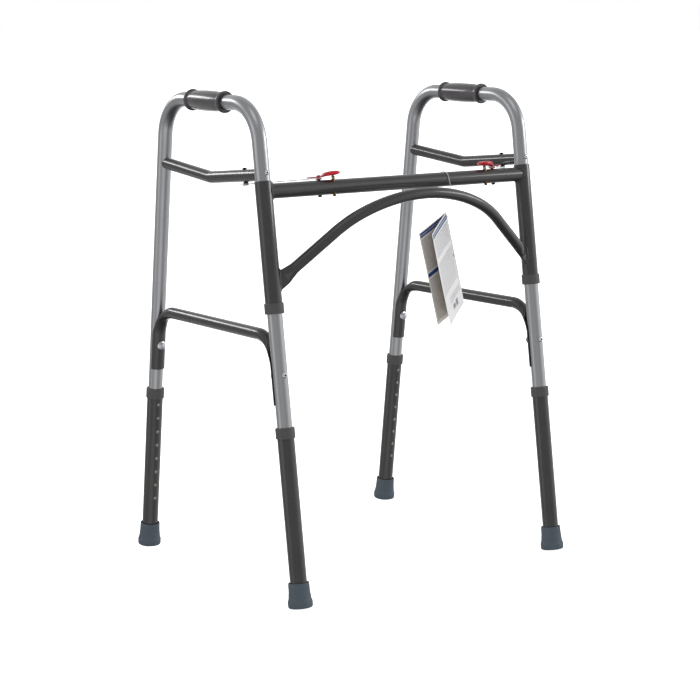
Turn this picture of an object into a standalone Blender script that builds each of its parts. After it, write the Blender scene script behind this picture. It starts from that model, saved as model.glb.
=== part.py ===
"""Folding walker: two side frames that turn in behind a front crossbar, with four telescoping legs."""
import math

import bmesh
import bpy
from mathutils import Matrix, Vector

# Stance, in metres and radians; left is -X, the front is -Y, and the floor is Z = 0
TRACK = 0.570
BASE_DEPTH = 0.480
FRONT_LEAN = math.radians(8.25)
REAR_LEAN = math.radians(6.06)
TOE_IN = math.radians(0.92)
HANDLE_HEIGHT = 0.8177
HANDLE_BEND = 0.070

# Clearances between pieces that touch in the real thing
GAP = 0.0003
COPE_GAP = 0.00045

# A cutter's edges are turned by this much, off the edges of the part that it cuts
CUTTER_TURN = math.radians(4.1)

# Bent side tube and the sleeves and legs that run over it
TUBE_RADIUS = 0.0127
TUBE_WALL = 0.0012
TUBE_END = 0.090
OVER_RADIUS = 0.0143
SLEEVE_BORE = 0.0132
LEG_BORE = 0.01315
SLEEVE_TOP = 0.7020

# Plastic collars
COLLAR_RADIUS = 0.01625
COLLAR_BORE = 0.0147
COLLAR_LIP = 0.0133
COLLAR_HEIGHT = 0.0178
COLLAR_LIP_HEIGHT = 0.0027

# Levels along the front post, each from the one before it: lower brace, its saddles, the lower legs,
# and above it the rivet, the sleeve and the sleeve's collar
LOWER_BRACE_HEIGHT = 0.442
SADDLE_DROP = {"front": 0.1055, "rear": 0.1047}
SADDLE_TO_BOLT = {"front": 0.0490, "rear": 0.0443}
LEG_TO_SADDLE = 0.0400
BRACE_TO_RIVET = 0.0395
RIVET_TO_SLEEVE = 0.0080
COLLAR_OVERLAP = 0.0033
SADDLE_BOTTOM = {leg: LOWER_BRACE_HEIGHT - drop for leg, drop in SADDLE_DROP.items()}
LOWER_BOLT = {leg: SADDLE_BOTTOM[leg] + rise for leg, rise in SADDLE_TO_BOLT.items()}
RIVET_LEVEL = LOWER_BRACE_HEIGHT + BRACE_TO_RIVET
SLEEVE_BOTTOM = RIVET_LEVEL + RIVET_TO_SLEEVE
UPPER_COLLAR_BOTTOM = SLEEVE_BOTTOM - COLLAR_OVERLAP

# Telescoping legs, with distances measured along the leg from the floor
LEG_BOTTOM = 0.0105
LEG_TOP = SADDLE_BOTTOM["front"] - LEG_TO_SADDLE
LEG_COLLAR_DROP = 0.0146
LEG_COLLAR_BOTTOM = LEG_TOP - LEG_COLLAR_DROP
HOLE_PITCH = 0.0254
HOLE_COUNT = 8
HOLE_RADIUS = 0.0030
HOLE_IN_USE = 6
TOP_HOLE_DROP = {"front": 0.0222, "rear": 0.0256}
TOP_HOLE = {leg: LEG_TOP - drop for leg, drop in TOP_HOLE_DROP.items()}
BUTTON_RADIUS = 0.0029
BUTTON_TOP = 0.0128

# Rubber tips
SOLE_LEVEL = {"front": 0.0019, "rear": 0.0012}

# Hand grips
GRIP_FRONT = 0.2075
GRIP_LENGTH = 0.104

# Upper brace of each side frame: a shallow V, in side frame coordinates
BRACE_RADIUS = 0.0103
BRACE_VERTEX = (0.2544, 0.6903)
BRACE_FRONT_END = 0.101
BRACE_REAR_END = 0.7056
BRACE_FRONT_SLOPE = 0.096
BRACE_REAR_SLOPE = 0.102
BRACE_BEND = 0.060

# Lower brace of each side frame, its flattened ends wrapped on the legs
LOWER_BRACE_BEND = 0.030
SADDLE_INNER = 0.0132
SADDLE_OUTER = 0.0150
SADDLE_HALF_ANGLE = math.radians(70)
SADDLE_FLAT = 0.062
SADDLE_TAPER = 0.060
UPPER_SCREW = {"front": 0.7149, "rear": 0.7095}

# Front crossbar and the arch under it
BAR_RADIUS = 0.0127
BAR_WALL = 0.0012
BAR_LEVEL = 0.6850
BAR_TOP = BAR_LEVEL + BAR_RADIUS
ARCH_RADIUS = 0.009525
ARCH_WELD_RISE = 0.0397
ARCH_WELD_LEVEL = SLEEVE_BOTTOM + ARCH_WELD_RISE
ARCH_WELD_HALF = TRACK / 2
ARCH_RISE = 0.5225 * ARCH_WELD_HALF
ARCH_TILT = math.atan(0.505)
ARCH_CROWN_RADIUS = 1.0968 * ARCH_WELD_HALF
ARCH_CROWN_HALF = 0.4386 * ARCH_WELD_HALF
ARCH_SHOULDER_RADIUS = 0.7853 * ARCH_WELD_HALF
ARCH_SHOULDER_SLOPE = math.radians(42.2)
ARCH_END_HEIGHT = 0.0138
ARCH_END_THICKNESS = 0.0042
ARCH_VENT_INSET = 0.025
ARCH_VENT_DEPTH = 0.006
ARCH_VENT_RADIUS = 0.0017

# Folding straps and release levers, with heights measured up from the crossbar's top
STRAP_PIVOT = 0.0500
SLIDER_PLACE = {-1: 0.1142 - TRACK / 2, 1: TRACK / 2 - 0.0698}
SLIDER_BEHIND = 0.0020
SLIDER_TRAVEL = 0.0635
SLOT_HALF_WIDTH = 0.0030
STRAP_LOW = 0.0022
STRAP_HIGH = 0.0035
STRAP_RADIUS = 0.009
LEVER_LOW = 0.00405
LEVER_ANGLE = math.radians(17.0)
PIN_REACH = 0.0256
PIN_RADIUS = 0.0030

# Hang tag: its hanging corner, and the corner-to-corner runs of its two leaves
TAG_CORNER = Vector((0.0914, -0.1580, 0.6233))
TAG_DOWN = Vector((0.0652, 0.0240, -0.1684))
TAG_FRONT_LEAF = Vector((-0.0663, -0.0410, -0.0314))
TAG_BACK_LEAF = Vector((-0.0760, -0.0166, -0.0317))
TAG_THICKNESS = 0.0008
CORD_RADIUS = 0.0006

# Finishes: colour, metallic, roughness
LOOKS = {
    "anodised": ((0.62, 0.63, 0.65), 1.0, 0.38),
    "paint": ((0.075, 0.075, 0.085), 0.6, 0.32),
    "collar": ((0.15, 0.145, 0.14), 0.0, 0.55),
    "rubber": ((0.075, 0.095, 0.115), 0.0, 0.7),
    "grip": ((0.045, 0.045, 0.05), 0.0, 0.3),
    "red": ((0.55, 0.01, 0.025), 0.0, 0.25),
    "zinc": ((0.75, 0.76, 0.78), 1.0, 0.3),
    "black": ((0.02, 0.02, 0.022), 0.3, 0.45),
    "brass": ((0.70, 0.52, 0.22), 1.0, 0.3),
    "card": ((0.85, 0.85, 0.85), 0.0, 0.6),
    "thread": ((0.8, 0.8, 0.8), 0.0, 0.5),
}

SIDE_NAMES = {-1: "left", 1: "right"}


def clear_scene():
    for old in list(bpy.data.objects):
        bpy.data.objects.remove(old, do_unlink=True)


def new_collection(name):
    made = bpy.data.collections.new(name)
    bpy.context.scene.collection.children.link(made)
    return made


clear_scene()
PARTS = new_collection("folding_walker")
CUTTERS = new_collection("cutters")


def finish(name, look):
    """A Principled material of the object's own."""
    colour, metallic, roughness = LOOKS[look]
    made = bpy.data.materials.new(name + "_finish")
    made.use_nodes = True
    shader = made.node_tree.nodes["Principled BSDF"]
    shader.inputs["Base Color"].default_value = (*colour, 1.0)
    shader.inputs["Metallic"].default_value = metallic
    shader.inputs["Roughness"].default_value = roughness
    made.diffuse_color = (*colour, 1.0)
    return made


def place(name, mesh, look, parent, location=(0, 0, 0), rotation=(0, 0, 0)):
    """Add a mesh as a part, or as a cutter when it has no finish."""
    made = bpy.data.objects.new(name, mesh)
    made.parent = parent
    made.location = location
    made.rotation_euler = rotation
    if look is None:
        CUTTERS.objects.link(made)
        made.hide_render = True
        made.display_type = "WIRE"
    else:
        PARTS.objects.link(made)
        mesh.materials.append(finish(name, look))
    return made


def frame(name, parent=None, location=(0, 0, 0), rotation=(0, 0, 0)):
    """An empty that carries the pieces of one body."""
    made = bpy.data.objects.new(name, None)
    made.empty_display_size = 0.02
    made.parent = parent
    made.location = location
    made.rotation_euler = rotation
    PARTS.objects.link(made)
    return made


def clean_mesh(mesh, smooth=True):
    """Join doubled points and face the skin outward."""
    work = bmesh.new()
    work.from_mesh(mesh)
    bmesh.ops.remove_doubles(work, verts=work.verts, dist=0.00001)
    bmesh.ops.recalc_face_normals(work, faces=work.faces)
    for face in work.faces:
        face.smooth = smooth
    work.to_mesh(mesh)
    work.free()
    return mesh


def turned(name, profile, look, parent, location=(0, 0, 0), rotation=(0, 0, 0), sides=16, ring=False):
    """Turn a profile of (radius, height) about the local Z axis."""
    work = bmesh.new()
    points = [work.verts.new((radius, 0.0, height)) for radius, height in profile]
    for start, end in zip(points, points[1:]):
        work.edges.new((start, end))
    if ring:
        work.edges.new((points[-1], points[0]))
    mesh = bpy.data.meshes.new(name)
    work.to_mesh(mesh)
    work.free()
    made = place(name, mesh, look, parent, location, rotation)
    screw = made.modifiers.new("Turn", "SCREW")
    screw.axis = "Z"
    screw.steps = sides
    screw.render_steps = sides
    screw.use_merge_vertices = True
    screw.merge_threshold = 0.00005
    screw.use_smooth_shade = True
    return made


def rods(name, items, look, parent, sides=10):
    """Plain cylinders, each given as radius, start and end."""
    work = bmesh.new()
    spin = Matrix.Rotation(CUTTER_TURN if look is None else 0.0, 4, "Z")
    for radius, start, end in items:
        start = Vector(start)
        end = Vector(end)
        turn = (end - start).to_track_quat("Z", "Y").to_matrix().to_4x4() @ spin
        bmesh.ops.create_cone(
            work,
            cap_ends=True,
            segments=sides,
            radius1=radius,
            radius2=radius,
            depth=(end - start).length,
            matrix=Matrix.Translation((start + end) / 2) @ turn,
        )
    mesh = bpy.data.meshes.new(name)
    work.to_mesh(mesh)
    work.free()
    return place(name, mesh, look, parent)


def curve_mesh(curve):
    """The mesh of a curve; the curve's object goes."""
    path = bpy.data.objects.new("path", curve)
    bpy.context.scene.collection.objects.link(path)
    bpy.context.view_layer.update()
    graph = bpy.context.evaluated_depsgraph_get()
    mesh = bpy.data.meshes.new_from_object(path.evaluated_get(graph))
    bpy.data.objects.remove(path, do_unlink=True)
    mesh.materials.clear()
    return mesh


def swept(name, points, radius, look, parent, sides=16, loop=False):
    """A round bar along a path."""
    curve = bpy.data.curves.new(name, "CURVE")
    curve.dimensions = "3D"
    curve.bevel_depth = radius
    curve.bevel_resolution = (sides - 4) // 2
    curve.use_fill_caps = not loop
    spline = curve.splines.new("POLY")
    spline.points.add(len(points) - 1)
    for knot, point in zip(spline.points, points):
        knot.co = (*point, 1.0)
        knot.tilt = CUTTER_TURN if look is None else 0.0
    spline.use_cyclic_u = loop
    return place(name, clean_mesh(curve_mesh(curve)), look, parent)


def plate(name, outline, thickness, look, parent, location=(0, 0, 0), rotation=(0, 0, 0)):
    """A flat outline in the local XY plane, made thick both ways."""
    curve = bpy.data.curves.new(name, "CURVE")
    curve.dimensions = "2D"
    curve.fill_mode = "BOTH"
    curve.extrude = thickness / 2
    spline = curve.splines.new("POLY")
    spline.points.add(len(outline) - 1)
    for knot, (across, along) in zip(spline.points, outline):
        knot.co = (across, along, 0.0, 1.0)
    spline.use_cyclic_u = True
    return place(name, clean_mesh(curve_mesh(curve), smooth=False), look, parent, location, rotation)


def lofted(name, sections, look, parent, smooth=True):
    """Skin a row of unlike sections that have the same number of points."""
    work = bmesh.new()
    rows = [[work.verts.new(point) for point in section] for section in sections]
    count = len(rows[0])
    for lower, upper in zip(rows, rows[1:]):
        for index in range(count):
            following = (index + 1) % count
            work.faces.new((lower[index], lower[following], upper[following], upper[index]))
    work.faces.new(rows[0])
    work.faces.new(rows[-1])
    mesh = bpy.data.meshes.new(name)
    work.to_mesh(mesh)
    work.free()
    return place(name, clean_mesh(mesh, smooth), look, parent)


def cut(target, *cutters):
    """Take cutters out of a part."""
    for cutter in cutters:
        change = target.modifiers.new("Cut", "BOOLEAN")
        change.operation = "DIFFERENCE"
        change.solver = "EXACT"
        change.object = cutter


def rounded_path(corners, radius, steps):
    """A path through corners, each inner corner made an arc."""
    points = [corners[0]]
    for before, corner, after in zip(corners, corners[1:], corners[2:]):
        back = (before - corner).normalized()
        ahead = (after - corner).normalized()
        half = back.angle(ahead) / 2
        centre = corner + (back + ahead).normalized() * radius / math.sin(half)
        start = (corner + back * radius / math.tan(half) - centre).normalized()
        end = (corner + ahead * radius / math.tan(half) - centre).normalized()
        for step in range(steps + 1):
            points.append(centre + start.slerp(end, step / steps) * radius)
    points.append(corners[-1])
    return points


def arc(radius, start, end, steps, centre=(0.0, 0.0)):
    """Points of a flat arc, with angles in degrees."""
    points = []
    for step in range(steps + 1):
        angle = math.radians(start + (end - start) * step / steps)
        points.append((centre[0] + radius * math.cos(angle), centre[1] + radius * math.sin(angle)))
    return points


def ease(share):
    return share * share * (3 - 2 * share)


# Frames: the leaning front plane, whose Z runs up the front legs
FRONT = frame("front_plane", None, (0, -BASE_DEPTH / 2, 0), (-FRONT_LEAN, 0, 0))


def collar(name, parent, level, lip_on_top):
    """A plastic collar: a ring over the outer tube with a lip that the inner tube runs through."""
    outer = [
        (COLLAR_RADIUS - 0.0007, COLLAR_HEIGHT),
        (COLLAR_RADIUS, COLLAR_HEIGHT - 0.0009),
        (COLLAR_RADIUS, 0.0009),
        (COLLAR_RADIUS - 0.0007, 0.0),
    ]
    if lip_on_top:
        step = COLLAR_HEIGHT - COLLAR_LIP_HEIGHT
        inner = [(COLLAR_BORE, 0.0), (COLLAR_BORE, step), (COLLAR_LIP, step), (COLLAR_LIP, COLLAR_HEIGHT)]
    else:
        step = COLLAR_LIP_HEIGHT + GAP
        inner = [(COLLAR_LIP, 0.0), (COLLAR_LIP, step), (COLLAR_BORE, step), (COLLAR_BORE, COLLAR_HEIGHT)]
    return turned(name, outer + inner, "collar", parent, (0, 0, level), ring=True)


def front_sleeves():
    """The two painted sleeves that the front legs turn in, each with its collar."""
    copers = {}
    for side, word in SIDE_NAMES.items():
        post = frame(word + "_sleeve_axis", FRONT, (side * TRACK / 2, 0, 0))
        wall = [
            (OVER_RADIUS, SLEEVE_TOP),
            (OVER_RADIUS, SLEEVE_BOTTOM),
            (SLEEVE_BORE, SLEEVE_BOTTOM),
            (SLEEVE_BORE, SLEEVE_TOP),
        ]
        turned(word + "_front_sleeve", wall, "paint", post, ring=True)
        collar(word + "_sleeve_collar", post, UPPER_COLLAR_BOTTOM, lip_on_top=False)
        reach = ((0, 0, SLEEVE_BOTTOM), (0, 0, SLEEVE_TOP))
        copers[side] = rods(word + "_sleeve_cope", [(OVER_RADIUS + COPE_GAP, *reach)], None, post, sides=20)
    return copers


def pin_spot(side):
    """Where the lock pin stands in the crossbar: X and Y in the front plane."""
    across = SLIDER_PLACE[side] - side * PIN_REACH * math.cos(LEVER_ANGLE)
    return across, SLIDER_BEHIND - PIN_REACH * math.sin(LEVER_ANGLE)


def crossbar(copers):
    """The hollow bar between the sleeves, slotted for the slider bolts and drilled for the lock pins."""
    ends = ((-TRACK / 2, 0, BAR_LEVEL), (TRACK / 2, 0, BAR_LEVEL))
    bar = rods("front_crossbar", [(BAR_RADIUS, *ends)], "paint", FRONT, sides=20)
    for face in bar.data.polygons:
        face.use_smooth = True
    bore = rods("crossbar_bore", [(BAR_RADIUS - BAR_WALL, *ends)], None, FRONT, sides=16)
    cut(bar, bore, copers[-1], copers[1])
    for side, word in SIDE_NAMES.items():
        start = SLIDER_PLACE[side]
        far = start - side * SLIDER_TRAVEL
        low, high = sorted((start, far))
        outline = arc(SLOT_HALF_WIDTH, -90, 90, 5, (high, 0.0)) + arc(SLOT_HALF_WIDTH, 90, 270, 5, (low, 0.0))
        slot = plate(word + "_slot", outline, 0.04, None, FRONT, (0, SLIDER_BEHIND, BAR_LEVEL))
        across, behind = pin_spot(side)
        reach = ((across, behind, BAR_LEVEL - 0.02), (across, behind, BAR_LEVEL + 0.02))
        hole = rods(word + "_pin_hole", [(PIN_RADIUS + 0.0005, *reach)], None, FRONT, sides=12)
        cut(bar, slot, hole)


def arch_point(across, rise, normal=0.0):
    """A point of the arch's own plane, which tips forward from the front plane at the welds."""
    forward = rise * math.sin(ARCH_TILT) + normal * math.cos(ARCH_TILT)
    level = ARCH_WELD_LEVEL + rise * math.cos(ARCH_TILT) - normal * math.sin(ARCH_TILT)
    return Vector((across, -forward, level))


def arch_surface(across, rise, slope, high, deep):
    """A point of the arch's section: high runs in line with the sleeves, deep square to that."""
    turn = math.atan2(math.sin(ARCH_TILT), math.cos(ARCH_TILT) * math.cos(slope))
    out = high * math.cos(turn) - deep * math.sin(turn)
    normal = -high * math.sin(turn) - deep * math.cos(turn)
    return arch_point(across + out * math.sin(slope), rise + out * math.cos(slope), normal)


def arch_half():
    """The right half of the arch from its crown: across, rise, slope angle and how far it is flattened."""
    crown_end = math.asin(ARCH_CROWN_HALF / ARCH_CROWN_RADIUS)
    rows = []
    for step in range(5):
        angle = crown_end * step / 4
        drop = ARCH_CROWN_RADIUS * (1 - math.cos(angle))
        rows.append((ARCH_CROWN_RADIUS * math.sin(angle), ARCH_RISE - drop, angle, 0.0))
    across, rise = rows[-1][0], rows[-1][1]
    for step in range(1, 4):
        angle = crown_end + (ARCH_SHOULDER_SLOPE - crown_end) * step / 3
        run = ARCH_SHOULDER_RADIUS * (math.sin(angle) - math.sin(crown_end))
        drop = ARCH_SHOULDER_RADIUS * (math.cos(crown_end) - math.cos(angle))
        rows.append((across + run, rise - drop, angle, 0.0))
    across, rise = rows[-1][0], rows[-1][1]
    slope = math.atan2(rise, ARCH_WELD_HALF - across)
    for along, flat in ((0.031, 0.0), (0.023, 0.3), (0.014, 0.75), (0.006, 1.0), (-0.012, 1.0)):
        point = ARCH_WELD_HALF - OVER_RADIUS - along * math.cos(slope)
        rows.append((point, (ARCH_WELD_HALF - point) * math.tan(slope), slope, flat))
    return rows


def arch_brace(copers):
    """The bowed tube under the crossbar; its ends are flattened in line with the sleeves that they are welded to."""
    half = arch_half()
    mirrored = [(-across, rise, -slope, flat) for across, rise, slope, flat in reversed(half[1:])]
    sections = []
    for across, rise, slope, flat in mirrored + half:
        tall = ARCH_RADIUS + (ARCH_END_HEIGHT - ARCH_RADIUS) * flat
        thick = ARCH_RADIUS + (ARCH_END_THICKNESS - ARCH_RADIUS) * flat
        ring = []
        for step in range(12):
            angle = math.tau * step / 12
            ring.append(arch_surface(across, rise, slope, tall * math.cos(angle), thick * math.sin(angle)))
        sections.append(ring)
    made = lofted("front_arch_brace", sections, "paint", FRONT)
    slope = half[-1][2]
    spot = (ARCH_WELD_HALF - ARCH_VENT_INSET, ARCH_VENT_INSET * math.tan(slope), slope)
    drill = (arch_surface(*spot, -ARCH_VENT_DEPTH, 0.0), arch_surface(*spot, -ARCH_END_HEIGHT - ARCH_VENT_RADIUS, 0.0))
    vent = rods("arch_vent", [(ARCH_VENT_RADIUS, *drill)], None, FRONT)
    cut(made, copers[-1], copers[1], vent)


def slider_bolt_ends():
    """The lower end of each slider bolt, seen under the crossbar."""
    for side, word in SIDE_NAMES.items():
        profile = [
            (0.0, 0.0015),
            (0.0025, 0.0015),
            (0.0025, -0.0257),
            (0.0038, -0.0257),
            (0.0036, -0.0272),
            (0.0022, -0.0281),
            (0.0, -0.0283),
        ]
        spot = (SLIDER_PLACE[side], SLIDER_BEHIND, BAR_TOP)
        turned(word + "_slider_bolt_end", profile, "black", FRONT, spot, sides=12)


def lock_pins():
    """The sprung brass pins that stand in the crossbar under the lever pads."""
    for side, word in SIDE_NAMES.items():
        across, behind = pin_spot(side)
        profile = [
            (0.0, 0.0019),
            (PIN_RADIUS - 0.0005, 0.0019),
            (PIN_RADIUS, 0.0014),
            (PIN_RADIUS, -0.0278),
            (PIN_RADIUS - 0.0007, -0.0285),
            (0.0, -0.0285),
        ]
        slide = frame(word + "_pin_slide", FRONT, (across, behind, BAR_TOP))
        turned(word + "_lock_pin", profile, "brass", slide, sides=12)


def leg_frames(word, parent):
    """The two leg axes of a side frame; their Z runs up the leg from the floor."""
    front = frame(word + "_front_leg_axis", parent, (0, 0, 0), (-FRONT_LEAN, 0, 0))
    rear = frame(word + "_rear_leg_axis", parent, (0, BASE_DEPTH, 0), (REAR_LEAN, 0, 0))
    return {"front": front, "rear": rear}


def side_tube(word, parent):
    """The bent tube: down the front leg, along the handle and down the rear leg."""
    front_run = Vector((0, math.sin(FRONT_LEAN), math.cos(FRONT_LEAN)))
    rear_run = Vector((0, -math.sin(REAR_LEAN), math.cos(REAR_LEAN)))
    foot = Vector((0, BASE_DEPTH, 0))
    corners = [
        front_run * TUBE_END,
        Vector((0, HANDLE_HEIGHT * math.tan(FRONT_LEAN), HANDLE_HEIGHT)),
        Vector((0, BASE_DEPTH - HANDLE_HEIGHT * math.tan(REAR_LEAN), HANDLE_HEIGHT)),
        foot + rear_run * TUBE_END,
    ]
    tube = swept(word + "_side_tube", rounded_path(corners, HANDLE_BEND, 5), TUBE_RADIUS, "anodised", parent)
    corners[0] = front_run * (TUBE_END - 0.005)
    corners[3] = foot + rear_run * (TUBE_END - 0.005)
    inside = rounded_path(corners, HANDLE_BEND, 5)
    bore = swept(word + "_side_tube_bore", inside, TUBE_RADIUS - TUBE_WALL, None, parent, sides=12)
    cut(tube, bore)
    return tube


def fastener_holes(word, axes):
    """Cutters for the cross holes of each leg of a side frame."""
    made = []
    for leg, facing in (("front", 1), ("rear", -1)):
        items = []
        for level, radius in ((UPPER_SCREW[leg], 0.0027), (LOWER_BOLT[leg], 0.0032)):
            items.append((radius, (0, -facing * 0.020, level), (0, facing * 0.036, level)))
        made.append(rods(f"{word}_{leg}_bolt_holes", items, None, axes[leg]))
    return made


def single_wall_holes(word, axes):
    """Cutters for the holes through one wall of the side tube."""
    made = []
    for leg, facing in (("front", 1), ("rear", -1)):
        level = TOP_HOLE[leg] - HOLE_IN_USE * HOLE_PITCH
        items = [(BUTTON_RADIUS + 0.0004, (0, facing * 0.006, level), (0, facing * 0.018, level))]
        if leg == "front":
            items.append((0.0020, (0, 0.006, RIVET_LEVEL), (0, 0.018, RIVET_LEVEL)))
        made.append(rods(f"{word}_{leg}_wall_holes", items, None, axes[leg]))
    return made


def upper_brace(word, parent, copers, holes, bolt_hole):
    """The shallow V brace between the legs under the handle."""
    along, height = BRACE_VERTEX
    rear_along = BASE_DEPTH - BRACE_REAR_END * math.tan(REAR_LEAN)
    corners = [
        Vector((0, BRACE_FRONT_END, height + BRACE_FRONT_SLOPE * (along - BRACE_FRONT_END))),
        Vector((0, along, height)),
        Vector((0, rear_along, height + BRACE_REAR_SLOPE * (rear_along - along))),
    ]
    brace = swept(word + "_upper_brace", rounded_path(corners, BRACE_BEND, 3), BRACE_RADIUS, "paint", parent)
    cut(brace, *copers, *holes, bolt_hole)


def saddle_section(centre, run, flat):
    """A section of the lower brace, from round to a thin saddle hugging the leg."""
    out = Vector((0, run.z, -run.y))
    axis = centre - out * (SADDLE_INNER + BRACE_RADIUS)
    points = []
    for step in range(16):
        angle = math.tau * (step + 0.5) / 16
        wide = math.asin(math.sin(angle)) / math.radians(78.75) * SADDLE_HALF_ANGLE
        radius = SADDLE_OUTER if math.cos(angle) > 0 else SADDLE_INNER
        round_point = centre + (out * math.cos(angle) + Vector((math.sin(angle), 0, 0))) * BRACE_RADIUS
        saddle_point = axis + out * radius * math.cos(wide) + Vector((math.sin(wide), 0, 0)) * radius
        points.append(round_point.lerp(saddle_point, flat))
    return points


def lower_brace(word, parent, holes):
    """The level brace that bends down to saddles bolted on the legs."""
    offset = SADDLE_INNER + BRACE_RADIUS
    runs = {
        "front": Vector((0, math.sin(FRONT_LEAN), math.cos(FRONT_LEAN))),
        "rear": Vector((0, -math.sin(REAR_LEAN), math.cos(REAR_LEAN))),
    }
    feet = {
        "front": Vector((0, math.cos(FRONT_LEAN), -math.sin(FRONT_LEAN))) * offset,
        "rear": Vector((0, BASE_DEPTH, 0)) - Vector((0, math.cos(REAR_LEAN), math.sin(REAR_LEAN))) * offset,
    }
    knees = {}
    for leg in runs:
        reach = (LOWER_BRACE_HEIGHT - feet[leg].z) / runs[leg].z
        knees[leg] = feet[leg] + runs[leg] * reach
    start = feet["front"] + runs["front"] * SADDLE_BOTTOM["front"]
    end = feet["rear"] + runs["rear"] * SADDLE_BOTTOM["rear"]
    bends = rounded_path([start, knees["front"], knees["rear"], end], LOWER_BRACE_BEND, 6)[1:-1]
    low = start + runs["front"] * SADDLE_FLAT
    high = end + runs["rear"] * SADDLE_FLAT
    path = [start, low, low.lerp(bends[0], 0.5), *bends, high.lerp(bends[-1], 0.5), high, end]
    lengths = [0.0]
    for before, after in zip(path, path[1:]):
        lengths.append(lengths[-1] + (after - before).length)
    headings = [runs["front"]]
    for before, point, after in zip(path, path[1:], path[2:]):
        headings.append(((point - before).normalized() + (after - point).normalized()).normalized())
    headings.append(-runs["rear"])
    sections = []
    for point, run, covered in zip(path, headings, lengths):
        beyond = min(covered, lengths[-1] - covered) - SADDLE_FLAT
        sections.append(saddle_section(point, run, 1 - ease(min(max(beyond / SADDLE_TAPER, 0.0), 1.0))))
    brace = lofted(word + "_lower_brace", sections, "paint", parent)
    cut(brace, *holes)


def leg_fasteners(word, axes):
    """Screws of the upper brace, bolts of the lower brace and the retaining rivet."""
    for leg, facing in (("front", 1), ("rear", -1)):
        outward = (-facing * math.pi / 2, 0, 0)
        face = TUBE_RADIUS + GAP
        screw = [
            (0.0, 0.034),
            (0.0022, 0.034),
            (0.0022, -face),
            (0.00425, -face),
            (0.0040, -face - 0.0014),
            (0.0026, -face - 0.0024),
            (0.0, -face - 0.0027),
        ]
        turned(f"{word}_{leg}_brace_screw", screw, "zinc", axes[leg], (0, 0, UPPER_SCREW[leg]), outward, sides=12)
        nut = SADDLE_OUTER + GAP
        bolt = [
            (0.0, nut + 0.0068),
            (0.0027, nut + 0.0066),
            (0.0027, nut + 0.0050),
            (0.0054, nut + 0.0050),
            (0.0054, nut + 0.0012),
            (0.00825, nut + 0.0012),
            (0.00825, nut),
            (0.0027, nut),
            (0.0027, -face),
            (0.0050, -face),
            (0.0044, -face - 0.0020),
            (0.0, -face - 0.0031),
        ]
        turned(f"{word}_{leg}_brace_bolt", bolt, "zinc", axes[leg], (0, 0, LOWER_BOLT[leg]), outward, sides=12)
    rivet = [
        (0.0, 0.0149),
        (0.0016, 0.0145),
        (0.0025, 0.0133),
        (0.0025, TUBE_RADIUS + GAP),
        (0.0015, TUBE_RADIUS + GAP),
        (0.0015, 0.0090),
        (0.0, 0.0090),
    ]
    spot = (0, 0, RIVET_LEVEL)
    turned(word + "_retaining_rivet", rivet, "zinc", axes["front"], spot, (-math.pi / 2, 0, 0), sides=10)


def hand_grip(word, parent):
    """The moulded grip on the handle, with a rounded flange at each end."""
    half = [
        (0.0152, 0.0520),
        (0.0171, 0.0520),
        (0.01825, 0.0505),
        (0.01825, 0.0480),
        (0.0168, 0.0464),
        (0.01575, 0.0440),
        (0.0169, 0.0260),
    ]
    outer = half + [(0.0175, 0.0)] + [(radius, -height) for radius, height in reversed(half)]
    profile = outer + [(0.0152, -0.050), (SLEEVE_BORE, -0.050), (SLEEVE_BORE, 0.050), (0.0152, 0.050)]
    middle = (0, GRIP_FRONT + GRIP_LENGTH / 2, HANDLE_HEIGHT)
    turned(word + "_hand_grip", profile, "grip", parent, middle, (-math.pi / 2, 0, 0), sides=16, ring=True)


def telescoping_leg(word, leg, axis):
    """A lower leg with its row of height holes, its collar and its rubber tip."""
    facing = 1 if leg == "front" else -1
    slide = frame(f"{word}_{leg}_leg_slide", axis)
    wall = [(OVER_RADIUS, LEG_TOP), (OVER_RADIUS, LEG_BOTTOM), (LEG_BORE, LEG_BOTTOM), (LEG_BORE, LEG_TOP)]
    tube = turned(f"{word}_{leg}_lower_leg", wall, "paint", slide, ring=True)
    items = []
    for step in range(HOLE_COUNT):
        level = TOP_HOLE[leg] - step * HOLE_PITCH
        items.append((HOLE_RADIUS, (0, facing * 0.009, level), (0, facing * 0.018, level)))
    cut(tube, rods(f"{word}_{leg}_height_holes", items, None, slide, sides=8))
    collar(f"{word}_{leg}_leg_collar", slide, LEG_COLLAR_BOTTOM, lip_on_top=True)
    tip = [
        (0.0, 0.0080),
        (COLLAR_BORE, 0.0080),
        (COLLAR_BORE, 0.0393),
        (0.0160, 0.0393),
        (0.0160, 0.0415),
        (0.0169, 0.0415),
        (0.0176, 0.0404),
        (0.0185, 0.0220),
        (0.0209, 0.0090),
        (0.0205, 0.0025),
        (0.0182, 0.0),
        (0.0, 0.0),
    ]
    shoe = turned(f"{word}_{leg}_rubber_tip", tip, "rubber", slide, (0, 0, SOLE_LEVEL[leg]))
    cut(shoe, FLOOR)
    button = [
        (0.0, BUTTON_TOP),
        (0.0016, BUTTON_TOP - 0.0003),
        (BUTTON_RADIUS, BUTTON_TOP - 0.0013),
        (BUTTON_RADIUS, 0.0085),
        (0.0, 0.0085),
    ]
    level = TOP_HOLE[leg] - HOLE_IN_USE * HOLE_PITCH
    press = frame(f"{word}_{leg}_button_press", axis, (0, 0, level))
    turned(f"{word}_{leg}_snap_button", button, "brass", press, (0, 0, 0), (-facing * math.pi / 2, 0, 0), sides=12)


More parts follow.
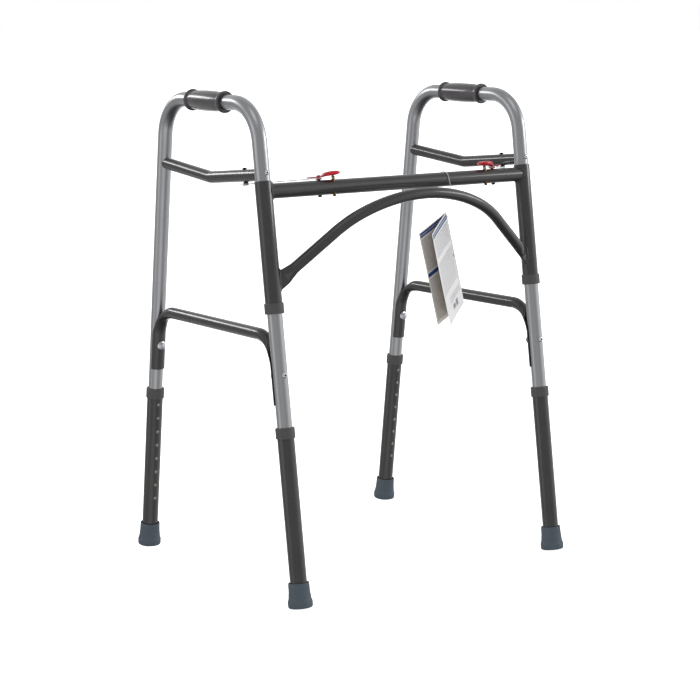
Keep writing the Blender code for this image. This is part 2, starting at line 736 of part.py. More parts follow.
def folding_strap(side, word, fold):
    """The strap from the side frame's pivot bolt to the slider, with its lever, bolt and striker."""
    toe = side * TOE_IN
    pivot = Vector((side * TRACK / 2 - STRAP_PIVOT * math.sin(toe), STRAP_PIVOT * math.cos(toe), 0))
    reach = Vector((SLIDER_PLACE[side], SLIDER_BEHIND, 0)) - pivot
    heading = math.atan2(reach.y, reach.x)
    length = reach.length
    hinge = frame(word + "_strap_pivot", fold, (0, STRAP_PIVOT, BAR_TOP), (0, 0, heading - toe))
    outline = arc(STRAP_RADIUS, 90, 270, 7) + arc(STRAP_RADIUS, -90, 90, 8, (length, 0.0))
    middle = (STRAP_LOW + STRAP_HIGH) / 2
    strap = plate(word + "_folding_strap", outline, STRAP_HIGH - STRAP_LOW, "zinc", hinge, (0, 0, middle))
    items = [(0.0031, (0, 0, 0), (0, 0, 0.006))]
    pivot_hole = rods(word + "_strap_pivot_hole", items, None, hinge, sides=12)
    boss_hole = rods(word + "_strap_boss_hole", [(0.0060, (length, 0, 0), (length, 0, 0.006))], None, hinge, sides=12)
    cut(strap, pivot_hole, boss_hole)

    profile = [
        (0.0, 0.0084),
        (0.0024, 0.0081),
        (0.0040, 0.0073),
        (0.00425, 0.0067),
        (0.0022, 0.0067),
        (0.0022, STRAP_HIGH + 0.00005),
        (0.0055, STRAP_HIGH + 0.00005),
        (0.0055, STRAP_LOW),
        (0.0, STRAP_LOW),
    ]
    turned(word + "_slider_bolt", profile, "black", hinge, (length, 0, 0), sides=12)

    aim = math.pi + LEVER_ANGLE if side > 0 else -LEVER_ANGLE
    tilt = frame(word + "_lever_tilt", hinge, (length, 0, 0), (0, 0, aim - heading))
    release_lever(word, tilt)


def release_lever(word, tilt):
    """The red lever: its side shape crossed with its plan shape, edges rounded."""
    side_shape = [
        (-0.0200, LEVER_LOW),
        (0.0045, LEVER_LOW),
        (0.0120, 0.0051),
        (0.0300, 0.0065),
        (0.0345, 0.0078),
        (0.0374, 0.0092),
        (0.0376, 0.0105),
        (0.0355, 0.0126),
        (0.0310, 0.0140),
        (0.0220, 0.0138),
        (0.0135, 0.0128),
        (0.0088, 0.0107),
        (0.0056, 0.0068),
        (0.0046, 0.0064),
        (-0.0190, 0.0064),
        (-0.0200, 0.0057),
    ]
    upper = [
        (0.0376, 0.0045),
        (0.0350, 0.0088),
        (0.0295, 0.0114),
        (0.0180, 0.0116),
        (0.0110, 0.0101),
        (0.0055, 0.0060),
        (-0.0170, 0.0055),
        (-0.0200, 0.0036),
    ]
    outline = upper + [(along, -across) for along, across in reversed(upper)]
    lever = plate(word + "_release_lever", outline, 0.016, "red", tilt, (0, 0, 0.0085))
    profile = plate(word + "_lever_side", side_shape, 0.030, None, tilt, (0, 0, 0), (math.pi / 2, 0, 0))
    meet = lever.modifiers.new("Side", "BOOLEAN")
    meet.operation = "INTERSECT"
    meet.solver = "EXACT"
    meet.object = profile
    edge = lever.modifiers.new("Edges", "BEVEL")
    edge.width = 0.0006
    edge.segments = 1
    edge.limit_method = "ANGLE"
    edge.angle_limit = math.radians(50)
    items = [
        (0.0032, (0, 0, 0), (0, 0, 0.009)),
        (0.0019, (PIN_REACH, 0, 0.003), (PIN_REACH, 0, 0.0090)),
    ]
    cut(lever, rods(word + "_lever_holes", items, None, tilt, sides=12))
    striker = [
        (0.0, 0.0085),
        (0.0015, 0.0085),
        (0.0015, 0.0054),
        (PIN_RADIUS, 0.0054),
        (PIN_RADIUS, STRAP_LOW),
        (0.0, STRAP_LOW),
    ]
    turned(word + "_lever_striker", striker, "brass", tilt, (PIN_REACH, 0, 0), sides=12)


def pivot_bolt(word, fold):
    """The bolt that hangs the strap from the upper brace, and its spacer."""
    bolt = [
        (0.0, 0.0300),
        (0.0030, 0.0297),
        (0.0040, 0.0288),
        (0.0040, 0.0278),
        (0.0026, 0.0278),
        (0.0026, 0.0019),
        (0.0050, 0.0019),
        (0.0050, 0.0008),
        (0.0044, 0.0006),
        (0.0, 0.0006),
    ]
    spot = (0, STRAP_PIVOT, BAR_TOP)
    turned(word + "_strap_pivot_bolt", bolt, "black", fold, spot, sides=12)
    low = STRAP_HIGH + GAP
    spacer = [(0.0045, 0.0064), (0.0045, low), (0.0031, low), (0.0031, 0.0064)]
    turned(word + "_strap_spacer", spacer, "black", fold, spot, sides=12, ring=True)


def side_frame(side, word):
    """One folding side: its tube, braces, grip, fasteners, legs, strap and lever."""
    fold = frame(word + "_fold", FRONT, (side * TRACK / 2, 0, 0), (0, 0, side * TOE_IN))
    upright = frame(word + "_side", fold, (0, 0, 0), (FRONT_LEAN, 0, 0))
    axes = leg_frames(word, upright)
    tube = side_tube(word, upright)
    holes = fastener_holes(word, axes)
    cut(tube, *holes, *single_wall_holes(word, axes))
    copers = []
    for leg in ("front", "rear"):
        reach = ((0, 0, 0.66), (0, 0, 0.75))
        coper = rods(f"{word}_{leg}_leg_cope", [(TUBE_RADIUS + COPE_GAP, *reach)], None, axes[leg], sides=20)
        copers.append(coper)
    spot = (0, STRAP_PIVOT, BAR_TOP)
    reach = ((0, STRAP_PIVOT, BAR_TOP), (0, STRAP_PIVOT, BAR_TOP + 0.035))
    bolt_hole = rods(word + "_pivot_bolt_hole", [(0.0031, *reach)], None, fold, sides=12)
    upper_brace(word, upright, copers, holes, bolt_hole)
    lower_brace(word, upright, holes)
    leg_fasteners(word, axes)
    pivot_bolt(word, fold)
    hand_grip(word, upright)
    for leg in ("front", "rear"):
        telescoping_leg(word, leg, axes[leg])
    folding_strap(side, word, fold)


def front_point(across, behind, level):
    """A world point from front plane coordinates."""
    tilt = Matrix.Rotation(-FRONT_LEAN, 3, "X")
    return tilt @ Vector((across, behind, level)) + Vector((0, -BASE_DEPTH / 2, 0))


def tag_hole_spot():
    """Where the cord goes through the tag, and the direction that it goes in."""
    spread = (TAG_FRONT_LEAF.normalized() + TAG_BACK_LEAF.normalized()).normalized()
    through = TAG_DOWN.cross(spread).normalized()
    return TAG_CORNER + TAG_DOWN.normalized() * 0.006 + spread * 0.005, through


def hang_tag():
    """A folded card, its two leaves spread from the fold."""
    through = tag_hole_spot()[1]
    down = TAG_DOWN.normalized()
    normals = []
    for leaf in (TAG_FRONT_LEAF, TAG_BACK_LEAF):
        normals.append(down.cross(leaf).normalized())
    thick = TAG_THICKNESS / 2
    section = [
        TAG_CORNER + TAG_FRONT_LEAF - normals[0] * thick,
        TAG_CORNER - TAG_FRONT_LEAF.normalized() * thick - normals[0] * thick,
        TAG_CORNER - TAG_BACK_LEAF.normalized() * thick + normals[1] * thick,
        TAG_CORNER + TAG_BACK_LEAF + normals[1] * thick,
        TAG_CORNER + TAG_BACK_LEAF - normals[1] * thick,
        TAG_CORNER + (TAG_FRONT_LEAF + TAG_BACK_LEAF).normalized() * 0.0030,
        TAG_CORNER + TAG_FRONT_LEAF + normals[0] * thick,
    ]
    card = lofted("hang_tag", [section, [point + TAG_DOWN for point in section]], "card", None, smooth=False)
    spot = tag_hole_spot()[0]
    hole = rods("tag_hole", [(0.0022, spot - through * 0.006, spot + through * 0.006)], None, None, sides=12)
    cut(card, hole)


def closed_spline(knots, steps):
    """A smooth closed path through its knots."""
    points = []
    count = len(knots)
    for index in range(count):
        before, start, end, after = (knots[(index + shift) % count] for shift in (-1, 0, 1, 2))
        for step in range(steps):
            share = step / steps
            pull = (end - before) * 0.5
            push = (after - start) * 0.5
            cubic = (2 * share**3 - 3 * share**2 + 1) * start + (share**3 - 2 * share**2 + share) * pull
            points.append(cubic + (3 * share**2 - 2 * share**3) * end + (share**3 - share**2) * push)
    return points


def tag_cord():
    """The thin loop that hangs the tag from the crossbar."""
    spot, through = tag_hole_spot()
    wrap = BAR_RADIUS + CORD_RADIUS + 0.0007
    knots = [
        spot,
        spot - through * 0.0045,
        front_point(0.0985, -0.0185, 0.6480),
        front_point(0.0985, -0.0175, 0.6680),
    ]
    for angle in (165, 130, 90, 50, 15):
        turn = math.radians(angle)
        knots.append(front_point(0.0985, wrap * math.cos(turn), BAR_LEVEL + wrap * math.sin(turn)))
    knots += [
        front_point(0.0975, 0.0165, 0.6680),
        front_point(0.0965, 0.0150, 0.6480),
        spot + through * 0.0045,
    ]
    swept("tag_cord", closed_spline(knots, 3), CORD_RADIUS, "thread", None, sides=6, loop=True)


FLOOR = rods("floor_cutter", [(TRACK + BASE_DEPTH, (0, 0, -0.02), (0, 0, 0))], None, None, sides=8)
SLEEVE_COPERS = front_sleeves()
crossbar(SLEEVE_COPERS)
arch_brace(SLEEVE_COPERS)
slider_bolt_ends()
lock_pins()
for SIDE, WORD in SIDE_NAMES.items():
    side_frame(SIDE, WORD)
hang_tag()
tag_cord()
bpy.context.view_layer.update()
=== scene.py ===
from math import asin, atan, atan2, copysign, cos, hypot, pi, radians, sin, sqrt, tan, tau

import bmesh
import bpy
from mathutils import Matrix, Vector, noise


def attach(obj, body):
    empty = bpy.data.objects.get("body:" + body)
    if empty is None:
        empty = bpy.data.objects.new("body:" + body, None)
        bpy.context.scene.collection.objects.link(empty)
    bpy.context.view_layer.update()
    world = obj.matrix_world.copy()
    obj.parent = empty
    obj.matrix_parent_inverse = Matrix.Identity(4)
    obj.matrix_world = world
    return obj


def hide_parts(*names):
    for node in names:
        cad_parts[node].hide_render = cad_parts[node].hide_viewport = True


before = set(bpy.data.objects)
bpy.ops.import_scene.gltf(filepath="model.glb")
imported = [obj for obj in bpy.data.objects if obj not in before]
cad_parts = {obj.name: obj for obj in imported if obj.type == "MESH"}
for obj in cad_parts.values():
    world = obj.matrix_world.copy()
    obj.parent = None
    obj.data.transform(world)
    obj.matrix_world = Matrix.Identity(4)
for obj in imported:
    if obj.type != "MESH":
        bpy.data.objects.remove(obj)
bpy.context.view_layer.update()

# Stance of the walker, in metres: left is -X, the front is -Y
TRACK = 0.57
DEPTH = 0.48
FRONT_LEAN = radians(8.25)
REAR_LEAN = radians(6.06)
TOE_IN = radians(0.92)
FRONT_UP = Vector((0, sin(FRONT_LEAN), cos(FRONT_LEAN)))
REAR_UP = Vector((0, -sin(REAR_LEAN), cos(REAR_LEAN)))
SIDES = {-1: "left", 1: "right"}
LEGS = {"front": 1, "rear": -1}
X_AXIS = Vector((1, 0, 0))
Y_AXIS = Vector((0, 1, 0))
Z_AXIS = Vector((0, 0, 1))

# Tubes, sleeves and crossbar
TUBE_RADIUS = 0.0127
TUBE_END = 0.09
HANDLE_HEIGHT = 0.8177
HANDLE_BEND = 0.07
OVER_RADIUS = 0.0143
COPE_RADIUS = 0.0139
SLEEVE_BORE = 0.0132
SLEEVE_BOTTOM = 0.4895
SLEEVE_TOP = 0.702
SLEEVE_COLLAR = 0.4862
RIVET_LEVEL = 0.4815
BAR_LEVEL = 0.685
BAR_RADIUS = 0.0127
BAR_WALL = 0.0012
BAR_TOP = BAR_LEVEL + BAR_RADIUS
GRIP_MIDDLE = 0.2595

# Legs
LEG_BORE = 0.01305
LEG_BOTTOM = 0.0105
LEG_TOP = 0.2965
LEG_COLLAR = 0.2819
HOLE_RADIUS = 0.003
HOLE_PITCH = 0.0254
HOLE_COUNT = 8
HOLE_IN_USE = 6
TOP_HOLE = {"front": 0.2743, "rear": 0.2709}
SOLE_LEVEL = {"front": 0.0019, "rear": 0.0012}

# Braces; the upper one has a vertex, and a slope and an end on each side of it
BRACE_RADIUS = 0.0103
UPPER_SCREW = {"front": 0.7149, "rear": 0.7095}
UPPER_VERTEX = (0.2544, 0.6903)
UPPER_SLOPES = (0.096, 0.102)
UPPER_ENDS = (0.1095, 0.3965)
UPPER_BEND = 0.06
LOWER_BOLT = {"front": 0.3855, "rear": 0.3816}
LOWER_HEIGHT = 0.442
LOWER_BEND = 0.03
SADDLE_BOTTOM = {"front": 0.3365, "rear": 0.3373}
SADDLE_INNER = 0.0132
SADDLE_MIDDLE = 0.0141
SADDLE_HALF_WALL = 0.0009
SADDLE_HALF_WRAP = radians(71)
SADDLE_FLAT = 0.062
SADDLE_TAPER = 0.06

# Arch: its plane tips forward from the front plane, and its line runs through the axes of the sleeves
ARCH_LEVEL = 0.5292
ARCH_HALF = TRACK / 2
ARCH_RISE = 0.5225 * ARCH_HALF
ARCH_TILT = atan(0.505)
ARCH_RADIUS = 0.009525
CROWN_RADIUS = 0.3126
CROWN_HALF = 0.125
SHOULDER_RADIUS = 0.2238
SHOULDER_SLOPE = radians(42.2)
ARCH_END_THICK = 0.0042
ARCH_END_TALL = 0.0138
ARCH_VENT_INSET = 0.024

# Folding straps and levers
STRAP_PIVOT = 0.05
STRAP_RADIUS = 0.009
STRAP_LOW = 0.0022
STRAP_HIGH = 0.0035
SLIDER_PLACE = {-1: -0.1708, 1: 0.2152}
SLIDER_BEHIND = 0.002
SLIDER_TRAVEL = 0.0635
SLOT_HALF_WIDTH = 0.003
LEVER_ANGLE = radians(17.0)
PIN_REACH = 0.0256
PIN_HOLE = 0.0035
# Stations of the lever in millimetres: along, half width, underside, top
LEVER_STATIONS = (
    (-20.3, 3, 4.4, 5.8), (-20, 4.2, 4.1, 6.1), (-18.5, 5.2, 4.05, 6.4),
    (-15, 5.6, 4.05, 6.4), (-5, 5.7, 4.05, 6.4), (4, 5.7, 4.05, 6.4),
    (5.6, 6.2, 4.2, 7.2), (7, 7.4, 4.4, 8.8), (8.8, 8.8, 4.7, 10.6),
    (11, 10.1, 5, 11.9), (13.5, 10.9, 5.3, 12.8), (18, 11.6, 5.6, 13.6),
    (24, 11.7, 6, 14), (29.5, 11.4, 6.5, 14), (33, 10.1, 7.3, 13.4),
    (35.5, 8.2, 8.2, 12.5), (37, 6, 9, 11.4), (37.7, 3.6, 9.6, 10.6),
)

# Hang tag: the top of its fold, the way down it and the way across each leaf
TAG_CORNER = Vector((0.0914, -0.158, 0.6233))
TAG_DOWN = Vector((0.0652, 0.024, -0.1684))
TAG_FRONT_LEAF = Vector((-0.0663, -0.041, -0.0314))
TAG_BACK_LEAF = Vector((-0.076, -0.0166, -0.0317))
TAG_WIDTH = 0.084
TAG_LENGTH = 0.182
TAG_THICKNESS = 0.00045
CORD_RADIUS = 0.0006
BLUE = (0.012, 0.062, 0.27)
GREY = (0.3, 0.3, 0.32)
BROWN = (0.2, 0.17, 0.15)

# Studio: directions toward the camera and to its right
TO_CAMERA = Vector((-0.614, -0.789, 0))
TO_RIGHT = Vector((0.789, -0.614, 0))
# Soft glows: turn, rise, inner and outer half angle, strength
STUDIO_GLOWS = (
    (-68, 6, 6, 25, 0.62),
    (-112, 4, 6, 26, -0.14),
    (100, 6, 14, 46, 0.36),
    (0, -40, 18, 40, 0.44),
    (180, -32, 16, 50, 0.4),
    (0, 66, 5, 22, 0.7),
)
STUDIO_BASE = 0.37
STUDIO_BACK = 0.36
STUDIO_FLOOR_SHADE = 0.85
DIFFUSE_EXTRA = 0.75
# Softboxes: name, turn, rise, distance, the point they aim at, size and power
SOFTBOXES = (
    ("right_softbox", 96, 16, 2.7, (0.15, -0.14, 0.685), (1.3, 0.6), 12.0),
    ("left_softbox", -119, 27, 2.8, (-0.29, 0, 0.44), (1.1, 0.45), 12.0),
)
# Camera fitted to the photo: focal length per picture width, place, and turns in degrees
CAMERA_FOCAL = 1905.66 / 700
CAMERA_PLACE = (-2.0698, -2.662, 0.9695)
CAMERA_TURNS = (90 - 10.143, -0.13, -37.884)

# Points nearer than this are one point
MERGE = 0.000002
FILLET_STEPS = 4


# ---- frames; Z runs up the leg in the leaning ones
def shift(across, behind, up):
    return Matrix.Translation((across, behind, up))


def raised(up):
    return Matrix.Translation((0, 0, up))


def tipped(angle):
    return Matrix.Rotation(angle, 4, "X")


def swung(angle):
    return Matrix.Rotation(angle, 4, "Z")


FRONT = shift(0, -DEPTH / 2, 0) @ tipped(-FRONT_LEAN)
ARCH_FRAME = FRONT @ raised(ARCH_LEVEL) @ tipped(ARCH_TILT)


def post_frame(side):
    return FRONT @ shift(side * TRACK / 2, 0, 0)


def fold_frame(side):
    return post_frame(side) @ swung(side * TOE_IN)


def side_place(side):
    return fold_frame(side) @ tipped(FRONT_LEAN)


def leg_place(side, leg):
    if leg == "front":
        return fold_frame(side)
    return side_place(side) @ shift(0, DEPTH, 0) @ tipped(REAR_LEAN)


# ---- finishes
def plug(tree, socket, value):
    """Link a node's output to a socket, or set the socket's own value."""
    if isinstance(value, bpy.types.NodeSocket):
        tree.links.new(value, socket)
    elif socket.type == "RGBA":
        socket.default_value = (*value, 1.0)
    else:
        socket.default_value = value


def feed(tree, made, **sockets):
    """Fill inputs by name, with an underscore for each space."""
    for key, value in sockets.items():
        plug(tree, made.inputs[key.replace("_", " ")], value)


def node(tree, kind, **sockets):
    made = tree.nodes.new("ShaderNode" + kind)
    feed(tree, made, **sockets)
    return made


def calc(tree, operation, *values, kind="Math"):
    made = tree.nodes.new("ShaderNode" + kind)
    made.operation = operation
    for index, value in enumerate(values):
        plug(tree, made.inputs[index], value)
    return made.outputs["Value" if kind == "Math" or operation == "DOT_PRODUCT" else "Vector"]


def ramp(tree, value, low, high, top=1.0, kind="LINEAR"):
    """Spread a value from low to high over 0 to top."""
    made = node(tree, "MapRange", Value=value, From_Min=low, From_Max=high, To_Min=0, To_Max=top)
    made.interpolation_type = kind
    return made.outputs["Result"]


def blend_colours(tree, share, first, second):
    made = tree.nodes.new("ShaderNodeMix")
    made.data_type = "RGBA"
    for index, value in ((0, share), (6, first), (7, second)):
        plug(tree, made.inputs[index], value)
    return made.outputs[2]


def group(name, *outputs):
    """A group that takes a vector and a scale. Gives it, those two, and its output node."""
    made = bpy.data.node_groups.new(name, "ShaderNodeTree")
    for label, kind in (("Vector", "NodeSocketVector"), ("Scale", "NodeSocketFloat")):
        made.interface.new_socket(label, in_out="INPUT", socket_type=kind)
    for label in outputs:
        made.interface.new_socket(label, in_out="OUTPUT", socket_type="NodeSocketFloat")
    inside = made.nodes.new("NodeGroupInput").outputs
    return made, inside["Vector"], inside["Scale"], made.nodes.new("NodeGroupOutput")


def metal_flakes():
    """Small bright flakes in metallic paint."""
    made, vector, scale, out = group("metal_flakes", "Flakes", "Shade")
    cells = node(made, "TexVoronoi", Vector=vector, Scale=scale)
    split = node(made, "SeparateColor", Color=cells.outputs["Color"])
    feed(made, out, Flakes=ramp(made, split.outputs[0], 0.72, 1.0), Shade=split.outputs[1])
    return made


def noise_group(name, label, detail, roughness=0.5, factors=(1.0, 1.0, 1.0), span=(0, 1.0)):
    made, vector, scale, out = group(name, label)
    vector = calc(made, "MULTIPLY", vector, factors, kind="VectorMath")
    cloud = node(made, "TexNoise", Vector=vector, Scale=scale, Detail=detail, Roughness=roughness)
    feed(made, out, **{label: ramp(made, cloud.outputs["Fac"], *span)})
    return made


# Paint flakes, lines along a drawn tube, smudges from handling and moulded grain
FLAKES = metal_flakes()
STREAKS = noise_group("drawn_streaks", "Streaks", 3.0, 0.6, factors=(1.0, 1.0, 0.012))
MARKS = noise_group("hand_marks", "Marks", 6.0, 0.62, span=(0.42, 0.68))
GRAIN = noise_group("moulded_grain", "Height", 2.0)


def new_material(name):
    made = bpy.data.materials.new(name)
    made.use_nodes = True
    return made, made.node_tree, made.node_tree.nodes["Principled BSDF"]


def start_material(name):
    """A material, its tree, its shader and the position that each piece carries for it."""
    made, tree, shader = new_material(name)
    own = node(tree, "Attribute")
    own.attribute_name = "own"
    return made, tree, shader, own.outputs["Vector"]


def effect(tree, kind, vector, scale):
    made = tree.nodes.new("ShaderNodeGroup")
    made.node_tree = kind
    feed(tree, made, Vector=vector, Scale=scale)
    return made.outputs


def bump(tree, shader, height, strength, distance):
    made = node(tree, "Bump", Height=height, Strength=strength, Distance=distance)
    feed(tree, shader, Normal=made.outputs["Normal"])


def anodised(name):
    made, tree, shader, own = start_material(name)
    lines = effect(tree, STREAKS, own, 2000.0)["Streaks"]
    marks = effect(tree, MARKS, own, 14.0)["Marks"]
    tone = blend_colours(tree, ramp(tree, lines, 0.3, 0.7), (0.52, 0.53, 0.55), (0.57, 0.58, 0.6))
    colour = blend_colours(tree, calc(tree, "MULTIPLY", marks, 0.25), tone, (0.48, 0.49, 0.5))
    rough = calc(tree, "MULTIPLY_ADD", lines, 0.06, 0.29)
    rough = calc(tree, "MULTIPLY_ADD", marks, 0.05, rough)
    feed(tree, shader, Base_Color=colour, Metallic=1.0, Roughness=rough)
    bump(tree, shader, lines, 0.05, 0.0002)
    return made


def painted(name, dark, light, coat_rough):
    """Metallic paint under a clear coat."""
    made, tree, shader, own = start_material(name)
    flake = effect(tree, FLAKES, own, 5200.0)
    marks = effect(tree, MARKS, own, 18.0)["Marks"]
    base = blend_colours(tree, flake["Flakes"], dark, light)
    colour = blend_colours(tree, calc(tree, "MULTIPLY", marks, 0.1), base, (0.14, 0.135, 0.13))
    rough = calc(tree, "MULTIPLY_ADD", flake["Shade"], 0.08, 0.38)
    feed(tree, shader, Base_Color=colour, Metallic=0.35, Roughness=rough)
    feed(tree, shader, Coat_Weight=0.9, Coat_Roughness=coat_rough)
    peel = node(tree, "TexNoise", Vector=own, Scale=260.0, Detail=1.0)
    bump(tree, shader, peel.outputs["Fac"], 0.06, 0.0004)
    return made


def moulded(name, light, dark, rough, grain, strength, marks_scale=30.0, coat=0):
    """Plastic or rubber with a moulded grain."""
    made, tree, shader, own = start_material(name)
    marks = effect(tree, MARKS, own, marks_scale)["Marks"]
    height = effect(tree, GRAIN, own, grain)["Height"]
    colour = blend_colours(tree, calc(tree, "MULTIPLY", marks, 0.5), dark, light)
    rough = calc(tree, "MULTIPLY_ADD", marks, 0.1, rough)
    feed(tree, shader, Base_Color=colour, Roughness=rough, Coat_Weight=coat, Coat_Roughness=0.08)
    bump(tree, shader, height, strength, 0.0003)
    return made


def plated(name, light, dark, rough):
    """A plated metal, a little tarnished. The pin brass also carries painted shade and painted dark
    reflections in its colours.
    """
    made, tree, shader, own = start_material(name)
    marks = effect(tree, MARKS, own, 160.0)["Marks"]
    height = effect(tree, GRAIN, own, 900.0)["Height"]
    rough = calc(tree, "MULTIPLY_ADD", height, 0.16, rough)
    feed(tree, shader, Base_Color=blend_colours(tree, marks, light, dark), Metallic=1.0, Roughness=rough)
    bump(tree, shader, height, 0.06, 0.0001)
    return made


LOOKS = {
    "anodised": anodised("satin_aluminium"),
    "paint": painted("dark_metallic_paint", (0.04, 0.038, 0.041), (0.072, 0.07, 0.075), 0.11),
    # The weld look is the frame paint made lighter: a painted highlight along the flattened weld strip.
    "weld": painted("weld_paint_lightened", (0.065, 0.067, 0.075), (0.11, 0.112, 0.125), 0.2),
    "collar": moulded("grey_collar_plastic", (0.092, 0.087, 0.087), (0.074, 0.07, 0.07), 0.42, 1400, 0.12),
    "rubber": moulded("blue_grey_rubber", (0.094, 0.122, 0.153), (0.068, 0.09, 0.114), 0.56, 700, 0.22, 40),
    "grip": moulded("dark_grip_plastic", (0.088, 0.08, 0.088), (0.066, 0.06, 0.066), 0.28, 460, 0.6, 26, 0.8),
    "red": moulded("red_lever_plastic", (0.66, 0.006, 0.02), (0.56, 0.005, 0.016), 0.24, 900, 0.04, 60, 0.4),
    "zinc": plated("bright_zinc", (0.93, 0.95, 0.98), (0.72, 0.74, 0.78), 0.16),
    "black": plated("blackened_steel", (0.05, 0.05, 0.055), (0.03, 0.03, 0.033), 0.32),
    # The pin brass is painted dark: both colours hold painted shade and painted dark reflections; the marks
    # between them are tarnish.
    "brass": plated("brass_painted_dark", (0.3, 0.19, 0.07), (0.05, 0.036, 0.022), 0.12),
    "button": plated("warm_brass", (0.85, 0.55, 0.24), (0.66, 0.4, 0.15), 0.28),
    "thread": moulded("pale_thread", (0.75, 0.75, 0.75), (0.6, 0.6, 0.6), 0.55, 3000, 0.2),
}


# ---- shaping
def linked(name, data):
    made = bpy.data.objects.new(name, data)
    bpy.context.scene.collection.objects.link(made)
    return made


def as_object(name, shape):
    """Turn a shape into an object, and let the shape go."""
    mesh = bpy.data.meshes.new(name)
    shape.to_mesh(mesh)
    shape.free()
    return linked(name, mesh)


def own_layer(shape):
    """The layer that holds each point's position for the materials."""
    layers = shape.verts.layers.float_vector
    return layers["own"] if "own" in layers else layers.new("own")


def only(kind, items):
    return [item for item in items if isinstance(item, kind)]


def soft_profile(points):
    """Round the corners of a turned profile; each point is radius, height and an optional fillet."""
    made = []
    corners = [Vector(point[:2]) for point in points]
    for index, (corner, point) in enumerate(zip(corners, points)):
        half = pi / 2
        if len(point) > 2 and 0 < index < len(points) - 1:
            back = (corners[index - 1] - corner).normalized()
            ahead = (corners[index + 1] - corner).normalized()
            half = back.angle(ahead) / 2
        if half > radians(88):
            made.append(corner)
            continue
        fillet = point[2]
        centre = corner + (back + ahead).normalized() * fillet / sin(half)
        start = corner + back * fillet / tan(half) - centre
        end = corner + ahead * fillet / tan(half) - centre
        for step in range(FILLET_STEPS + 1):
            turn = start.to_3d().normalized().slerp(end.to_3d().normalized(), step / FILLET_STEPS)
            made.append(centre + turn.to_2d() * fillet)
    return made


def spin(made, outline, axis, steps):
    """Sweep an outline once round an axis."""
    bmesh.ops.spin(made, geom=outline, cent=(0, 0, 0), axis=axis, angle=tau, steps=steps, use_merge=True)
    bmesh.ops.remove_doubles(made, verts=made.verts, dist=MERGE)
    bmesh.ops.recalc_face_normals(made, faces=made.faces)
    return made


def lathe(points, segments=64, closed=False):
    """Turn a profile about the local Z axis."""
    made = bmesh.new()
    verts = [made.verts.new((radius, 0, height)) for radius, height in soft_profile(points)]
    edges = [made.edges.new(pair) for pair in zip(verts, verts[1:])]
    if closed:
        edges.append(made.edges.new((verts[-1], verts[0])))
    return spin(made, verts + edges, Z_AXIS, segments)


def route(start, direction, moves):
    """A tube's centre line, as point, heading and length so far.

    Each move is a run, with its length and its steps, or a bend, with its radius, angle and steps.
    A bend with a positive angle turns clockwise about X.
    """
    point = Vector(start)
    heading = Vector(direction).normalized()
    along = 0
    rows = [(point, heading, along)]
    for move in moves:
        count = move[-1]
        if len(move) == 2:
            turn = Matrix.Identity(3)
            stride = move[0] / count
        else:
            radius, angle = move[:2]
            turn = Matrix.Rotation(-angle / count, 3, "X")
            stride = radius * abs(angle) / count
            centre = point + heading.cross(X_AXIS) * copysign(radius, angle)
        for _ in range(count):
            point = point + heading * stride if len(move) == 2 else centre + turn @ (point - centre)
            heading = turn @ heading
            along += stride
            rows.append((point, heading, along))
    return rows


def ring_place(point, heading, side, across, up):
    """A matrix that sets a unit circle square to the heading."""
    side = (side - heading * side.dot(heading)).normalized()
    made = Matrix((side * across, heading.cross(side) * up, heading)).transposed().to_4x4()
    made.translation = point
    return made


def skin(places, segments=48, squareness=1.0):
    """Pull a circle through a row of placed rings. Each place is a matrix and the length so far."""
    made = bmesh.new()
    own = own_layer(made)
    ring = bmesh.ops.create_circle(made, radius=1.0, segments=segments)["verts"]
    for vert in ring:
        vert.co.x = copysign(abs(vert.co.x) ** squareness, vert.co.x)
        vert.co.y = copysign(abs(vert.co.y) ** squareness, vert.co.y)
    edges = made.edges[:]
    last = Matrix.Identity(4)
    for index, (matrix, along) in enumerate(places):
        if index:
            pulled = bmesh.ops.extrude_edge_only(made, edges=edges)["geom"]
            ring = only(bmesh.types.BMVert, pulled)
            chosen = set(ring)
            edges = [edge for edge in only(bmesh.types.BMEdge, pulled) if set(edge.verts) <= chosen]
        bmesh.ops.transform(made, matrix=matrix @ last.inverted(), verts=ring)
        last = matrix
        back = matrix.inverted()
        size = matrix.to_scale()
        for vert in ring:
            unit = back @ vert.co
            vert[own] = (unit.x * size.x, unit.y * size.y, along)
        if index in (0, len(places) - 1):
            bmesh.ops.contextual_create(made, geom=edges)
    bmesh.ops.recalc_face_normals(made, faces=made.faces)
    return made


def tube(rows, radius, side, segments=48):
    places = [(ring_place(point, heading, side, radius, radius), along) for point, heading, along in rows]
    return skin(places, segments)


def joined(*shapes):
    """Several loose shapes as one."""
    made = bmesh.new()
    for shape in shapes:
        mesh = bpy.data.meshes.new("shape")
        shape.to_mesh(mesh)
        made.from_mesh(mesh)
        bpy.data.meshes.remove(mesh)
        shape.free()
    return made


def carve(shape, *tools):
    """Take tool shapes out of a shape."""
    target = as_object("shape", shape)
    cutter = as_object("shape", joined(*tools))
    change = target.modifiers.new("carve", "BOOLEAN")
    change.solver = "EXACT"
    change.object = cutter
    bpy.context.view_layer.update()
    result = target.evaluated_get(bpy.context.evaluated_depsgraph_get()).to_mesh()
    made = bmesh.new()
    made.from_mesh(result)
    for extra in (target, cutter):
        bpy.data.objects.remove(extra)
    bmesh.ops.remove_doubles(made, verts=made.verts, dist=MERGE)
    return made


def rod(radius, start, end, segments=32):
    """A plain cylinder between two points."""
    start = Vector(start)
    run = Vector(end) - start
    turn = run.to_track_quat("Z", "Y").to_matrix().to_4x4()
    place = Matrix.Translation(start + run / 2) @ turn
    made = bmesh.new()
    bmesh.ops.create_cone(
        made, cap_ends=True, segments=segments, radius1=radius, radius2=radius, depth=run.length, matrix=place
    )
    return made


def upright(radius, low, high, segments=32):
    """A plain cylinder on the local Z axis."""
    return rod(radius, (0, 0, low), (0, 0, high), segments)


def ease(shape, edges, width):
    bmesh.ops.bevel(shape, geom=edges, offset=width, affect="EDGES", segments=2, profile=0.5, material=-1)


